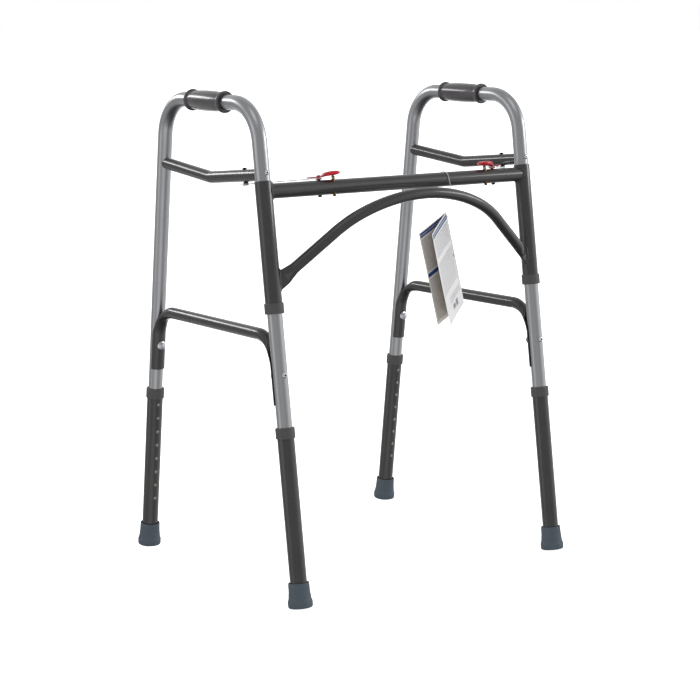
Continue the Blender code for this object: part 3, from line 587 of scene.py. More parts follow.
def pipe(bore, low, high, inner_edge, outer_edge):
    """A piece of over-tube, its top edges softened inside and out."""
    inside = [(bore, low), (bore, high, inner_edge)]
    outside = [(OVER_RADIUS, high, outer_edge), (OVER_RADIUS, low, 0.0003)]
    return lathe(inside + outside, 64, True)


def piece(name, shape, place, look, body, *nodes, sharp=40.0):
    """Finish a shape as a piece of the walker that rides on a body."""
    if "own" not in shape.verts.layers.float_vector:
        own = own_layer(shape)
        for vert in shape.verts:
            vert[own] = vert.co
    shape.transform(place)
    for face in shape.faces:
        face.smooth = True
    for edge in shape.edges:
        edge.smooth = len(edge.link_faces) != 2 or edge.calc_face_angle(0) < radians(sharp)
    made = as_object(name, shape)
    made.data.materials.append(LOOKS[look])
    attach(made, body)
    if nodes:
        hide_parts(*nodes)
    return made


def repaint_light_and_shade(made, place, look, test):
    """Give the faces that pass a test in the piece's own frame another material: painted shade in screw
    sockets and a painted highlight on the leg's hole walls.
    """
    made.data.materials.append(LOOKS[look])
    inverse = place.inverted()
    for face in made.data.polygons:
        if test(inverse @ face.center):
            face.material_index = 1


# Faces in a screw's socket; they are painted black as painted shade in the recess.
def in_socket_painted_shade(radius, low, high):
    return lambda spot: hypot(spot.x, spot.y) < radius and low < spot.z < high


# Walls of the leg's height holes; they are painted bright zinc as a painted highlight for the lit inner tube.
def in_hole_wall_painted_bright(spot):
    return abs(spot.x) < 0.0031 and 0.0131 < hypot(spot.x, spot.y) < 0.0142 and spot.z < 0.29


# ---- front frame
def collar_shape(lip_on_top):
    """A moulded collar with softened edges and a shallow step inside."""
    outer = [(0.01625, 0.0178, 0.0014), (0.01625, 0, 0.0014)]
    if lip_on_top:
        inner = [(0.0147, 0), (0.0147, 0.0151), (LEG_BORE, 0.0151), (LEG_BORE, 0.0178, 0.0006)]
    else:
        inner = [(LEG_BORE, 0, 0.0006), (LEG_BORE, 0.003), (0.0147, 0.003), (0.0147, 0.0178)]
    return lathe(inner + outer, 64, True)


def sleeve(side, word):
    place = post_frame(side)
    wall = pipe(SLEEVE_BORE, SLEEVE_BOTTOM, SLEEVE_TOP, 0.0003, 0.0005)
    piece(word + "_sleeve", wall, place, "paint", "front_frame", word + "_front_sleeve")
    spot = place @ raised(SLEEVE_COLLAR)
    piece(word + "_upper_collar", collar_shape(False), spot, "collar", "front_frame", word + "_sleeve_collar")


def pin_spot(side):
    across = SLIDER_PLACE[side] - side * PIN_REACH * cos(LEVER_ANGLE)
    return across, SLIDER_BEHIND - PIN_REACH * sin(LEVER_ANGLE)


def crossbar():
    """The bar with its coped ends, a slot for each slider and a hole for each pin."""
    spots = [TRACK * (step / 24 - 0.5) for step in range(25)]
    rows = [(Vector((across, 0, BAR_LEVEL)), X_AXIS, across) for across in spots]
    bar = tube(rows, BAR_RADIUS, Y_AXIS, 64)
    bar = carve(bar, rod(BAR_RADIUS - BAR_WALL, (-0.3, 0, BAR_LEVEL), (0.3, 0, BAR_LEVEL), 48))
    tools = []
    for side in SIDES:
        post = side * TRACK / 2
        tools.append(rod(COPE_RADIUS, (post, 0, 0.65), (post, 0, 0.72), 64))
        slot = upright(SLOT_HALF_WIDTH, BAR_LEVEL - 0.02, BAR_LEVEL + 0.02)
        far = [vert for vert in slot.verts if vert.co.x * side < -0.00001]
        bmesh.ops.translate(slot, verts=far, vec=(-side * SLIDER_TRAVEL, 0, 0))
        bmesh.ops.translate(slot, verts=slot.verts, vec=(SLIDER_PLACE[side], SLIDER_BEHIND, 0))
        tools.append(slot)
        spot = pin_spot(side)
        tools.append(rod(PIN_HOLE, (*spot, BAR_LEVEL - 0.02), (*spot, BAR_LEVEL + 0.02), 24))
    bar = carve(bar, *tools)
    own = own_layer(bar)
    for vert in bar.verts:
        vert[own] = (vert.co.z - BAR_LEVEL, vert.co.y, vert.co.x)
    piece("crossbar", bar, FRONT, "paint", "front_frame", "front_crossbar", sharp=30.0)


def weld_bead(post, wide, tall, thick, steps, ripple):
    """A rippled bead round an oval outline that lies on the +X side of an upright post."""
    made = bmesh.new()
    own = own_layer(made)
    spot = Matrix.Translation(Y_AXIS)
    ring = bmesh.ops.create_circle(made, radius=thick, segments=10, matrix=spot)["verts"]
    spin(made, ring + made.edges[:], X_AXIS, steps)
    for vert in made.verts:
        angle = atan2(vert.co.z, vert.co.y)
        offset = vert.co - Vector((0, cos(angle), sin(angle)))
        line = Vector((0, wide * cos(angle), tall * sin(angle)))
        reach = sqrt(post**2 - line.y**2)
        vert.co = line + X_AXIS * reach + offset * ripple(angle, line)
        vert[own] = vert.co
    return made


def crossbar_weld(side, word):
    seed = 3.0 + side

    def ripple(angle, line):
        wave = 0.16 * sin(angle * 34 + 1.2 * sin(angle * 3 + seed))
        return 1.0 + wave + 0.1 * noise.noise(line * 300 + X_AXIS * seed)

    radius = BAR_RADIUS + 0.0002
    bead = weld_bead(OVER_RADIUS + 0.0002, radius, radius, 0.0019, 160, ripple)
    if side > 0:
        bead.transform(swung(pi))
    piece(word + "_crossbar_weld", bead, post_frame(side) @ raised(BAR_LEVEL), "paint", "front_frame")


def arch_rows():
    """The arch's centre line from its crown to the right: across, rise, slope angle."""
    crown = asin(CROWN_HALF / CROWN_RADIUS)
    rows = [(0, ARCH_RISE, 0)]
    shoulder = (SHOULDER_RADIUS, SHOULDER_SLOPE, 8)
    for radius, last, count in ((CROWN_RADIUS, crown, 12), shoulder):
        across, rise, first = rows[-1]
        for step in range(1, count + 1):
            angle = first + (last - first) * step / count
            run = radius * (sin(angle) - sin(first))
            rows.append((across + run, rise - radius * (cos(first) - cos(angle)), angle))
    across, rise, _ = rows[-1]
    slope = atan2(rise, ARCH_HALF - across)
    for along in range(32, -14, -2):
        point = ARCH_HALF - OVER_RADIUS - along * 0.001 * cos(slope)
        rows.append((point, (ARCH_HALF - point) * tan(slope), slope))
    return rows


def arch():
    """The bowed tube, its ends flattened and coped to the sleeves, with a vent hole on the right."""
    half = arch_rows()
    slope = half[-1][2]
    places = []
    along = 0
    last = None
    full = [(-across, rise, -angle) for across, rise, angle in reversed(half[1:])] + half
    for across, rise, angle in full:
        point = Vector((across, 0, rise))
        along += (point - last).length if last else 0
        last = point
        near = (ARCH_HALF - OVER_RADIUS - abs(across)) / cos(slope)
        share = min(max((0.031 - near) / 0.023, 0), 1.0)
        heading = Vector((cos(angle), 0, -sin(angle)))
        lift = Vector((sin(angle), 0, cos(angle)))
        turn = atan2(sin(ARCH_TILT), cos(ARCH_TILT) * cos(angle))
        deep = Y_AXIS * cos(turn) - lift * sin(turn)
        thick = ARCH_RADIUS + (ARCH_END_THICK - ARCH_RADIUS) * share**1.5
        tall = ARCH_RADIUS + (ARCH_END_TALL - ARCH_RADIUS) * share**1.2
        places.append((ring_place(point, heading, deep, thick, tall), along))
    copes = []
    for side in SIDES:
        post = ARCH_FRAME.inverted() @ post_frame(side)
        copes.append(rod(COPE_RADIUS, post @ Vector((0, 0, 0.45)), post @ Vector((0, 0, 0.62)), 64))
    made = carve(skin(places, 48), *copes)
    high = Y_AXIS * sin(turn) + lift * cos(turn)
    spot = Vector((ARCH_HALF - ARCH_VENT_INSET, 0, ARCH_VENT_INSET * tan(slope)))
    vent = rod(0.0018, spot - high * 0.006 - deep * 0.001, spot - high * 0.0135 - deep * 0.007, 24)
    made = carve(made, vent)
    piece("arch_brace", made, ARCH_FRAME, "paint", "front_frame", "front_arch_brace")


def arch_weld(side, word):
    slope = arch_rows()[-1][2]
    turn = atan2(sin(ARCH_TILT) * sin(slope), cos(slope))
    around = pi + turn if side > 0 else -turn
    spot = post_frame(side) @ swung(around) @ raised(ARCH_LEVEL + 0.011)

    def ripple(angle, line):
        return 1.0 + 0.05 * sin(angle * 26 + 5.0 * side)

    bead = weld_bead(OVER_RADIUS, 0.0046, 0.0178, 0.0015, 120, ripple)
    # The weld look paints a highlight: it is the frame paint made lighter.
    piece(word + "_arch_weld", bead, spot, "weld", "front_frame")


# ---- straps, levers, pins
def slider_end(side, word):
    end = [
        (0, -0.0284), (0.0023, -0.0282, 0.0006), (0.0037, -0.0272, 0.0004), (0.0037, -0.0256, 0.0002),
        (0.0025, -0.0256), (0.0025, 0.0015, 0.0004), (0, 0.0015),
    ]
    spot = FRONT @ shift(SLIDER_PLACE[side], SLIDER_BEHIND, BAR_TOP)
    piece(word + "_slider_end", lathe(end, 32), spot, "black", "front_frame", word + "_slider_bolt_end")
    pin = [
        (0, -0.0285), (0.003, -0.0285, 0.0007), (0.003, -0.0262, 0.0002), (0.0026, -0.026, 0.0002),
        (0.0026, -0.0252, 0.0002), (0.003, -0.025, 0.0002), (0.003, 0.0019, 0.0006), (0, 0.0019),
    ]
    spot = FRONT @ shift(*pin_spot(side), BAR_TOP)
    # The brass look is painted dark, as painted shade and painted reflections.
    piece(word + "_pin", lathe(pin, 32), spot, "brass", word + "_pin", word + "_lock_pin")


def strap_and_lever(side, word):
    """The strap from its pivot bolt to the slider, along X of its own frame, and what rides on it."""
    toe = side * TOE_IN
    pivot = Vector((side * TRACK / 2 - STRAP_PIVOT * sin(toe), STRAP_PIVOT * cos(toe), BAR_TOP))
    reach = Vector((SLIDER_PLACE[side], SLIDER_BEHIND, BAR_TOP)) - pivot
    heading = atan2(reach.y, reach.x)
    length = reach.length
    place = FRONT @ Matrix.Translation(pivot) @ swung(heading)
    strap = bmesh.new()
    bmesh.ops.create_circle(strap, cap_ends=True, radius=STRAP_RADIUS, segments=64)
    far = [vert for vert in strap.verts if vert.co.x > 0.00001]
    bmesh.ops.translate(strap, verts=far, vec=(length, 0, 0))
    top = only(bmesh.types.BMVert, bmesh.ops.extrude_face_region(strap, geom=strap.faces[:])["geom"])
    bmesh.ops.translate(strap, verts=top, vec=(0, 0, STRAP_HIGH - STRAP_LOW))
    bmesh.ops.translate(strap, verts=strap.verts, vec=(0, 0, STRAP_LOW))
    bmesh.ops.recalc_face_normals(strap, faces=strap.faces)
    rims = [edge for edge in strap.edges if abs(edge.verts[0].co.z - edge.verts[1].co.z) < 0.00001]
    ease(strap, rims, 0.0003)
    strap = carve(strap, upright(0.0031, 0, 0.006), rod(0.0059, (length, 0, 0), (length, 0, 0.006), 48))
    piece(word + "_strap_bar", strap, place, "zinc", word + "_strap", word + "_folding_strap")

    spot = place @ shift(length, 0, 0)
    bolt = [
        (0, STRAP_LOW), (0.0055, STRAP_LOW, 0.0003), (0.0055, STRAP_HIGH + 0.00005, 0.0002),
        (0.0022, STRAP_HIGH + 0.00005), (0.0022, 0.0067), (0.00425, 0.0067, 0.0003), (0.0038, 0.0079, 0.0008),
        (0.0018, 0.0084, 0.0006), (0, 0.0084),
    ]
    piece(word + "_slider_head", lathe(bolt, 40), spot, "black", word + "_strap", word + "_slider_bolt")
    hub = [(0.0028, 0.0007), (0.0053, 0.0007, 0.0003), (0.0053, 0.0021, 0.0003), (0.0028, 0.0021)]
    piece(word + "_slider_hub", lathe(hub, 40, True), spot, "red", word + "_strap")
    aim = pi + LEVER_ANGLE if side > 0 else -LEVER_ANGLE
    lever(word, spot @ swung(aim - heading))


def lever(word, place):
    """The red lever: a flat tail that swells into a rounded thumb pad."""
    places = []
    for row in LEVER_STATIONS:
        along, half, low, high = (number / 1000 for number in row)
        centre = Vector((along, 0, (low + high) / 2))
        places.append((ring_place(centre, X_AXIS, Y_AXIS, half, (high - low) / 2), along))
    striker_hole = rod(0.0019, (PIN_REACH, 0, 0.002), (PIN_REACH, 0, 0.009), 24)
    made = carve(skin(places, 48, 0.62), upright(0.0032, 0.001, 0.009), striker_hole)
    piece(word + "_lever_pad", made, place, "red", word + "_lever", word + "_release_lever")
    striker = [
        (0, STRAP_LOW), (0.003, STRAP_LOW, 0.0004), (0.003, 0.0054, 0.0003),
        (0.0015, 0.0054), (0.0015, 0.0085), (0, 0.0085),
    ]
    spot = place @ shift(PIN_REACH, 0, 0)
    # The brass look is painted dark, as painted shade and painted reflections.
    piece(word + "_striker", lathe(striker, 32), spot, "brass", word + "_lever", word + "_lever_striker")


def pivot_bolt(side, word):
    place = fold_frame(side) @ shift(0, STRAP_PIVOT, BAR_TOP)
    bolt = [
        (0, 0.0006), (0.0046, 0.0006, 0.0003), (0.005, 0.0019, 0.0002), (0.0026, 0.0019), (0.0026, 0.0276),
        (0.0041, 0.0276, 0.0003), (0.0038, 0.0291, 0.0006), (0.0024, 0.03, 0.0005), (0, 0.0301),
    ]
    piece(word + "_pivot_bolt", lathe(bolt, 40), place, "black", word + "_side", word + "_strap_pivot_bolt")
    low = STRAP_HIGH + 0.0003
    spacer = [(0.0031, low), (0.0045, low, 0.0003), (0.0045, 0.0064, 0.0003), (0.0031, 0.0064)]
    made = lathe(spacer, 40, True)
    piece(word + "_pivot_spacer", made, place, "black", word + "_side", word + "_strap_spacer")


# ---- folding sides
def hoop(start, radius, spans, counts):
    """Rows of a tube that climbs the front leg's line, runs level and drops along the rear leg's line."""
    front_turn, rear_turn = pi / 2 - FRONT_LEAN, pi / 2 - REAR_LEAN
    front, rear = radius * tan(front_turn / 2), radius * tan(rear_turn / 2)
    moves = [
        (spans[0] - front, counts[0]),
        (radius, front_turn, counts[1]),
        (spans[1] - front - rear, counts[2]),
        (radius, rear_turn, counts[1]),
        (spans[2] - rear, counts[0]),
    ]
    return route(start, FRONT_UP, moves)


def bent_side(side, word):
    """The bent tube from leg to leg, with its hand grip."""
    place = side_place(side)
    climb, fall = (HANDLE_HEIGHT / cos(lean) - TUBE_END for lean in (FRONT_LEAN, REAR_LEAN))
    top = DEPTH - HANDLE_HEIGHT * (tan(FRONT_LEAN) + tan(REAR_LEAN))
    rows = hoop(FRONT_UP * TUBE_END, HANDLE_BEND, (climb, top, fall), (30, 24, 8))
    made = tube(rows, TUBE_RADIUS, X_AXIS, 64)
    piece(word + "_bent_tube", made, place, "anodised", word + "_side", word + "_side_tube")
    grip = [
        (0.013, 0.05), (0.0152, 0.05, 0.0003), (0.0156, 0.052, 0.0006), (0.0182, 0.052, 0.0018),
        (0.0185, 0.0492, 0.0012), (0.0182, 0.0466, 0.0014), (0.0159, 0.046, 0.0012), (0.0157, 0.0425, 0.004),
        (0.0166, 0.033), (0.0171, 0.023), (0.01745, 0.011), (0.0175, 0),
    ]
    profile = grip + [(radius, -height, *fillet) for radius, height, *fillet in reversed(grip[:-1])]
    spot = place @ shift(0, GRIP_MIDDLE, HANDLE_HEIGHT) @ tipped(-pi / 2)
    piece(word + "_grip", lathe(profile, 72, True), spot, "grip", word + "_side", word + "_hand_grip")


def upper_brace(side, word):
    """The shallow V between the legs under the handle."""
    middle, level = UPPER_VERTEX
    vertex = Vector((0, middle, level))
    ends = zip(UPPER_ENDS, UPPER_SLOPES)
    start, end = (Vector((0, at, level + slope * abs(middle - at))) for at, slope in ends)
    turn = sum(atan(slope) for slope in UPPER_SLOPES)
    reach = UPPER_BEND * tan(turn / 2)
    moves = [((vertex - start).length - reach, 8), (UPPER_BEND, -turn, 8), ((end - vertex).length - reach, 8)]
    made = tube(route(start, vertex - start, moves), BRACE_RADIUS, X_AXIS, 48)
    piece(word + "_top_brace", made, side_place(side), "paint", word + "_side", word + "_upper_brace")


def lower_brace(side, word):
    """A bent tube whose ends flatten, from inside the bends, into thin saddles round the legs."""
    offset = SADDLE_INNER + BRACE_RADIUS
    front_line = FRONT_UP.cross(X_AXIS) * offset
    rear_line = Y_AXIS * DEPTH - REAR_UP.cross(X_AXIS) * offset
    front_knee = front_line + FRONT_UP * ((LOWER_HEIGHT - front_line.z) / FRONT_UP.z)
    rear_knee = rear_line + REAR_UP * ((LOWER_HEIGHT - rear_line.z) / REAR_UP.z)
    start = front_line + FRONT_UP * SADDLE_BOTTOM["front"]
    end = rear_line + REAR_UP * SADDLE_BOTTOM["rear"]
    spans = [(front_knee - start).length, (rear_knee - front_knee).length, (rear_knee - end).length]
    rows = hoop(start, LOWER_BEND, spans, (26, 18, 12))
    total = rows[-1][2]
    made = tube(rows, BRACE_RADIUS, X_AXIS, 56)
    own = own_layer(made)
    for vert in made.verts:
        across, depth, along = vert[own]
        share = min(max((min(along, total - along) - SADDLE_FLAT) / SADDLE_TAPER, 0), 1.0)
        flat = 1.0 - share * share * (3 - 2 * share)
        if flat == 0:
            continue
        point, heading, _ = min(rows, key=lambda row: abs(row[2] - along))
        out = heading.cross(X_AXIS)
        angle = atan2(across, depth)
        wide = asin(sin(angle)) / (pi / 2) * SADDLE_HALF_WRAP
        radius = SADDLE_MIDDLE + SADDLE_HALF_WALL * max(-1.0, min(1.0, cos(angle) * 3.5))
        saddle = point + out * (radius * cos(wide) - offset) + X_AXIS * radius * sin(wide)
        vert.co = vert.co.lerp(saddle, flat)
    bmesh.ops.recalc_face_normals(made, faces=made.faces)
    piece(word + "_low_brace", made, side_place(side), "paint", word + "_side", word + "_lower_brace")


def socket_head(radius, height, shank, depth, socket, lowest=0):
    """A round screw head with a six-sided socket; Z points out of the head."""
    top = lowest + height
    profile = [
        (0, -depth), (shank, -depth, 0.0004), (shank, lowest), (radius, lowest, 0.0003),
        (radius * 0.94, lowest + height * 0.55, 0.0008), (radius * 0.62, lowest + height * 0.95, 0.0008),
        (radius * 0.45, top), (0, top),
    ]
    return carve(lathe(profile, 48), upright(socket, lowest + height * 0.25, top + 0.002, 6))


def leg_fasteners(side, word, leg):
    """The upper brace's screw, and the lower brace's bolt with its flange nut."""
    face = TUBE_RADIUS + 0.0001
    body = word + "_side"
    place = leg_place(side, leg)
    outward = tipped(LEGS[leg] * pi / 2)
    spot = place @ raised(UPPER_SCREW[leg]) @ outward @ raised(face)
    head = socket_head(0.0043, 0.0027, 0.0022, 0.03, 0.0016)
    made = piece(f"{word}_{leg}_top_screw", head, spot, "zinc", body, f"{word}_{leg}_brace_screw")
    # The socket is painted black: painted shade in the recess of the zinc head.
    repaint_light_and_shade(made, spot, "black", in_socket_painted_shade(0.0017, 0.0005, 0.0025))

    spot = place @ raised(LOWER_BOLT[leg]) @ outward
    head = socket_head(0.0051, 0.0031, 0.0027, -0.004, 0.002, lowest=face)
    seat = -0.0151
    flange = [
        (0, seat), (0.00835, seat, 0.0002), (0.00835, seat - 0.0009, 0.0003),
        (0.0062, seat - 0.0019, 0.0004), (0, seat - 0.0019),
    ]
    nut = upright(0.0058, seat - 0.0053, seat - 0.0015, 6)
    ease(nut, nut.edges[:], 0.0004)
    end = [(0, seat - 0.007), (0.0022, seat - 0.007, 0.0002)]
    for level in (seat - 0.0066, seat - 0.0057):
        end += [(0.00235, level), (0.0027, level + 0.00045)]
    end += [(0.0027, 0.004), (0, 0.004)]
    whole = joined(head, lathe(flange, 56), nut, lathe(end, 32))
    made = piece(f"{word}_{leg}_saddle_bolt", whole, spot, "zinc", body, f"{word}_{leg}_brace_bolt")
    # The socket is painted black: painted shade in the recess of the zinc head.
    repaint_light_and_shade(made, spot, "black", in_socket_painted_shade(0.0021, face + 0.0006, face + 0.0029))


def collar_rivet(side, word):
    rivet = [
        (0, 0.009), (0.0015, 0.009), (0.0015, 0.0128), (0.0026, 0.0128, 0.0002),
        (0.0025, 0.0136, 0.0005), (0.0017, 0.0147, 0.0006), (0, 0.015),
    ]
    spot = leg_place(side, "front") @ raised(RIVET_LEVEL) @ tipped(-pi / 2)
    piece(word + "_collar_rivet", lathe(rivet, 32), spot, "zinc", word + "_side", word + "_retaining_rivet")


def lower_leg(side, word, leg):
    """The leg with its height holes, and its collar, rubber tip and snap button."""
    place = leg_place(side, leg)
    facing = LEGS[leg]
    body = f"{word}_{leg}_leg"
    levels = [TOP_HOLE[leg] - step * HOLE_PITCH for step in range(HOLE_COUNT)]
    holes = [rod(HOLE_RADIUS, (0, facing * 0.009, level), (0, facing * 0.018, level), 28) for level in levels]
    shape = carve(pipe(LEG_BORE, LEG_BOTTOM, LEG_TOP, 0.0002, 0.0003), *holes)
    made = piece(body + "_tube", shape, place, "paint", body, f"{word}_{leg}_lower_leg", sharp=35.0)
    # The hole walls get bright zinc: a painted highlight for the lit inner tube seen through the holes.
    repaint_light_and_shade(made, place, "zinc", in_hole_wall_painted_bright)
    spot = place @ raised(LEG_COLLAR)
    piece(body + "_ring", collar_shape(True), spot, "collar", body, body + "_collar")

    tip = [
        (0, 0.0085), (0.0146, 0.0085), (0.0146, 0.0391, 0.0003), (0.0158, 0.0393, 0.0003),
        (0.016, 0.0415, 0.0004), (0.0175, 0.0415, 0.001), (0.0177, 0.0375, 0.002),
        (0.018, 0.027, 0.01), (0.0192, 0.015, 0.01), (0.0208, 0.0105, 0.0012),
        (0.0209, 0.0085, 0.002), (0.0206, 0, 0.0024), (0.015, 0, 0.0002), (0.0148, 0.0009, 0.0002),
        (0, 0.0009),
    ]
    shape = lathe(tip, 72)
    spot = place @ raised(SOLE_LEVEL[leg])
    floor = spot.inverted()
    parts = shape.verts[:] + shape.edges[:] + shape.faces[:]
    below = -(floor.to_3x3() @ Z_AXIS)
    plane = {"plane_co": floor.translation, "plane_no": below, "clear_outer": True}
    rim = only(bmesh.types.BMEdge, bmesh.ops.bisect_plane(shape, geom=parts, **plane)["geom_cut"])
    if rim:
        bmesh.ops.holes_fill(shape, edges=rim, sides=0)
    piece(body + "_tip", shape, spot, "rubber", body, f"{word}_{leg}_rubber_tip")

    button = [
        (0, 0.0085), (0.0029, 0.0085), (0.0029, 0.0118, 0.0006), (0.0018, 0.0127, 0.0006), (0, 0.0128),
    ]
    spot = place @ raised(levels[HOLE_IN_USE]) @ tipped(-facing * pi / 2)
    name = f"{word}_{leg}_button"
    piece(name + "_dome", lathe(button, 32), spot, "button", name, f"{word}_{leg}_snap_button")


# ---- hang tag
def card_material(name, paper, bands, rules):
    """Coated card with plain bands and fine rules, placed by the leaf's own UV map.

    Bands and rules start with their low and high edges, across and down.
    """
    made, tree, shader = new_material(name)
    chart = node(tree, "UVMap")
    chart.uv_map = "leaf"
    place = chart.outputs["UV"]
    split = node(tree, "SeparateXYZ", Vector=place).outputs

    def within(low_u, high_u, low_v, high_v):
        sides = calc(tree, "COMPARE", split["X"], (low_u + high_u) / 2, (high_u - low_u) / 2)
        ends = calc(tree, "COMPARE", split["Y"], (low_v + high_v) / 2, (high_v - low_v) / 2)
        return calc(tree, "MULTIPLY", sides, ends)

    coated = node(tree, "TexNoise", Vector=place, Scale=60.0, Detail=4.0).outputs["Fac"]
    colour = blend_colours(tree, ramp(tree, coated, 0.3, 0.7), paper, [value * 0.93 for value in paper])
    for *edges, tint in bands:
        colour = blend_colours(tree, within(*edges), colour, tint)
    for *edges, pitch, ink in rules:
        wave = calc(tree, "FRACT", calc(tree, "DIVIDE", split["Y"], pitch))
        words = calc(tree, "MULTIPLY", place, (60.0, 1.0 / pitch, 1.0), kind="VectorMath")
        broken = node(tree, "TexNoise", Vector=words, Scale=1.0, Detail=1.0).outputs["Fac"]
        line = calc(tree, "MULTIPLY", calc(tree, "LESS_THAN", wave, 0.42), ramp(tree, broken, 0.38, 0.46))
        colour = blend_colours(tree, calc(tree, "MULTIPLY", within(*edges), line), colour, ink)
    feed(tree, shader, Base_Color=colour, Roughness=0.38)
    bump(tree, shader, coated, 0.04, 0.0002)
    return made


def tag_leaf(name, run, bulge, looks):
    """One leaf of the folded card, slightly curled."""
    made = bmesh.new()
    chart = made.loops.layers.uv.new("leaf")
    bmesh.ops.create_grid(made, x_segments=24, y_segments=40, size=0.5)
    for face in made.faces:
        for loop in face.loops:
            loop[chart].uv = (loop.vert.co.x + 0.5, loop.vert.co.y + 0.5)
    normal = TAG_DOWN.cross(run).normalized()
    own = own_layer(made)
    for vert in made.verts:
        across, down = vert.co.x + 0.5, vert.co.y + 0.5
        vert[own] = (across * TAG_WIDTH, down * TAG_LENGTH, 0)
        lift = sin(pi * across * 0.9) * 0.6 + sin(pi * down) * 0.4
        vert.co = TAG_CORNER + run * across + TAG_DOWN * down + normal * bulge * lift
    bmesh.ops.solidify(made, geom=made.faces[:], thickness=TAG_THICKNESS)
    bmesh.ops.recalc_face_normals(made, faces=made.faces)
    for face in made.faces:
        if face.normal.dot(normal) < 0:
            face.material_index = 1
    leaf = as_object(name, made)
    for look in looks:
        leaf.data.materials.append(look)
    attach(leaf, "front_frame")
    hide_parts("hang_tag")


def hang_tag():
    bands = [
        (0.03, 0.97, 0.02, 0.038, BLUE),
        (0.03, 0.97, 0.046, 0.065, BLUE),
        (0.3, 0.42, 0.86, 0.93, GREY),
        (0.46, 0.6, 0.87, 0.92, GREY),
    ]
    rules = [
        (0.07, 0.93, 0.085, 0.285, 0.0085, GREY),
        (0.07, 0.93, 0.335, 0.695, 0.0085, GREY),
        (0.07, 0.7, 0.765, 0.835, 0.0085, GREY),
    ]
    outside = card_material("tag_card_outside", (0.94, 0.94, 0.95), bands, rules)
    bands = [
        (0.03, 0.97, 0.01, 0.03, BLUE),
        (0.03, 0.97, 0.036, 0.055, BLUE),
        (0.03, 0.97, 0.44, 0.48, BLUE),
    ]
    rules = [(0.05, 0.95, 0.08, 0.42, 0.009, BROWN), (0.05, 0.95, 0.505, 0.96, 0.009, BROWN)]
    inside = card_material("tag_card_inside", (0.84, 0.8, 0.75), bands, rules)
    tag_leaf("tag_front_leaf", TAG_FRONT_LEAF, 0.0016, [inside, outside])
    tag_leaf("tag_back_leaf", TAG_BACK_LEAF, -0.0012, [outside, inside])


def closed_spline(knots, steps):
    points = []
    for index, start in enumerate(knots):
        before, end, after = (knots[(index + offset) % len(knots)] for offset in (-1, 1, 2))
        pull = (end - before) * 0.5
        push = (after - start) * 0.5
        for step in range(steps):
            share = step / steps
            cubic = (2 * share**3 - 3 * share**2 + 1) * start + (share**3 - 2 * share**2 + share) * pull
            points.append(cubic + (3 * share**2 - 2 * share**3) * end + (share**3 - share**2) * push)
    return points


def tag_cord():
    """The thin loop round the crossbar; it starts and ends at a small knot at the card's hole."""
    spread = (TAG_FRONT_LEAF.normalized() + TAG_BACK_LEAF.normalized()).normalized()
    through = TAG_DOWN.cross(spread).normalized()
    spot = TAG_CORNER + TAG_DOWN.normalized() * 0.006 + spread * 0.005
    bends = [(0.0985, -0.0185, 0.648), (0.0985, -0.0175, 0.668)]
    wrap = BAR_RADIUS + 0.0013
    for angle in (165, 130, 90, 50, 15):
        turn = radians(angle)
        bends.append((0.0985, wrap * cos(turn), BAR_LEVEL + wrap * sin(turn)))
    bends += [(0.0975, 0.0165, 0.668), (0.0965, 0.015, 0.648)]
    wrapped = [FRONT @ Vector(bend) for bend in bends]
    knots = [spot, spot - through * 0.0045, *wrapped, spot + through * 0.0045]
    path = closed_spline(knots, 8)[2:-2]
    places = []
    along = 0
    for index, point in enumerate(path):
        ahead = path[min(index + 1, len(path) - 1)]
        back = path[max(index - 1, 0)]
        if index:
            along += (point - back).length
        heading = (ahead - back).normalized()
        places.append((ring_place(point, heading, X_AXIS, CORD_RADIUS, CORD_RADIUS), along))
    cord = piece("tag_loop", skin(places, 10), Matrix.Identity(4), "thread", "front_frame", "tag_cord")


# ---- floor, light and camera
def studio_floor():
    """A plain white sweep, as bright as the backdrop."""
    work = bmesh.new()
    bmesh.ops.create_grid(work, x_segments=1, y_segments=1, size=60.0)
    floor = as_object("studio_floor", work)
    white, tree, shader = new_material("studio_white")
    feed(tree, shader, Base_Color=(0.9, 0.9, 0.9), Roughness=0.9, Specular_IOR_Level=0)
    feed(tree, shader, Emission_Color=(1, 1, 1), Emission_Strength=1.0)
    floor.data.materials.append(white)
    floor.visible_glossy = False
    floor.visible_diffuse = False


def toward(turn, rise):
    """A direction: degrees to the right of the camera, and degrees up."""
    turn, rise = radians(turn), radians(rise)
    level = TO_CAMERA * cos(turn) + TO_RIGHT * sin(turn)
    return level * cos(rise) + Z_AXIS * sin(rise)


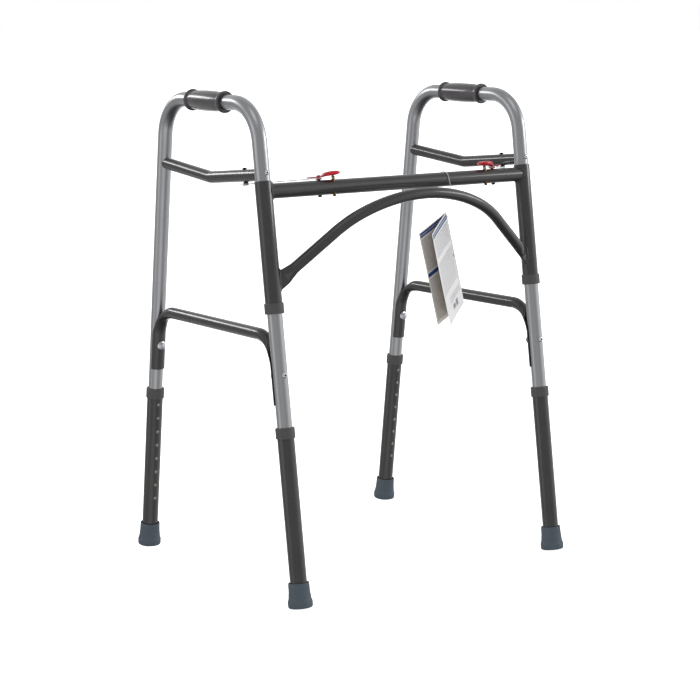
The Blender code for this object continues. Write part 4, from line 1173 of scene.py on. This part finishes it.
def studio_world():
    """White to the camera; the walker mirrors a studio that is dim in front and below."""
    world = bpy.data.worlds.new("studio_world")
    world.use_nodes = True
    tree = world.node_tree
    look = tree.nodes.new("ShaderNodeTexCoord").outputs["Generated"]

    def glow(direction, low, high, strength):
        share = calc(tree, "DOT_PRODUCT", look, direction, kind="VectorMath")
        return ramp(tree, share, low, high, strength, "SMOOTHSTEP")

    total = calc(tree, "ADD", glow(-TO_CAMERA, 0.2, 0.95, STUDIO_BACK), STUDIO_BASE)
    for turn, rise, inner, outer, strength in STUDIO_GLOWS:
        low, high = cos(radians(outer)), cos(radians(inner))
        total = calc(tree, "ADD", total, glow(toward(turn, rise), low, high, strength))
    below = glow(-Z_AXIS, 0.45, 0.85, STUDIO_FLOOR_SHADE)
    total = calc(tree, "MULTIPLY", total, calc(tree, "SUBTRACT", 1.0, below))
    total = calc(tree, "MAXIMUM", total, 0)
    rays = tree.nodes.new("ShaderNodeLightPath").outputs
    fill = calc(tree, "MULTIPLY_ADD", rays["Is Diffuse Ray"], DIFFUSE_EXTRA, 1.0)
    total = calc(tree, "MULTIPLY", total, fill)
    strength = calc(tree, "MAXIMUM", total, rays["Is Camera Ray"])
    feed(tree, tree.nodes["Background"], Color=(1.0, 1.0, 1.0), Strength=strength)
    bpy.context.scene.world = world


def softboxes():
    for name, turn, rise, distance, aim, size, power in SOFTBOXES:
        lamp = bpy.data.lights.new(name, "AREA")
        lamp.shape = "RECTANGLE"
        lamp.size, lamp.size_y = size
        lamp.energy = power
        made = linked(name, lamp)
        away = toward(turn, rise)
        made.location = Vector(aim) + away * distance
        made.rotation_euler = (-away).to_track_quat("-Z", "Y").to_euler()


def photo_camera():
    lens = bpy.data.cameras.new("photo_camera")
    lens.sensor_width = 36.0
    lens.lens = CAMERA_FOCAL * lens.sensor_width
    lens.clip_end = 200.0
    made = linked("photo_camera", lens)
    made.location = CAMERA_PLACE
    made.rotation_euler = [radians(turn) for turn in CAMERA_TURNS]
    bpy.context.scene.camera = made


crossbar()
arch()
for SIDE, WORD in SIDES.items():
    sleeve(SIDE, WORD)
    crossbar_weld(SIDE, WORD)
    arch_weld(SIDE, WORD)
    slider_end(SIDE, WORD)
    bent_side(SIDE, WORD)
    upper_brace(SIDE, WORD)
    lower_brace(SIDE, WORD)
    collar_rivet(SIDE, WORD)
    pivot_bolt(SIDE, WORD)
    strap_and_lever(SIDE, WORD)
    for LEG in LEGS:
        leg_fasteners(SIDE, WORD, LEG)
        lower_leg(SIDE, WORD, LEG)
hang_tag()
tag_cord()

studio_floor()
studio_world()
softboxes()
photo_camera()
bpy.context.scene.view_settings.view_transform = "Standard"
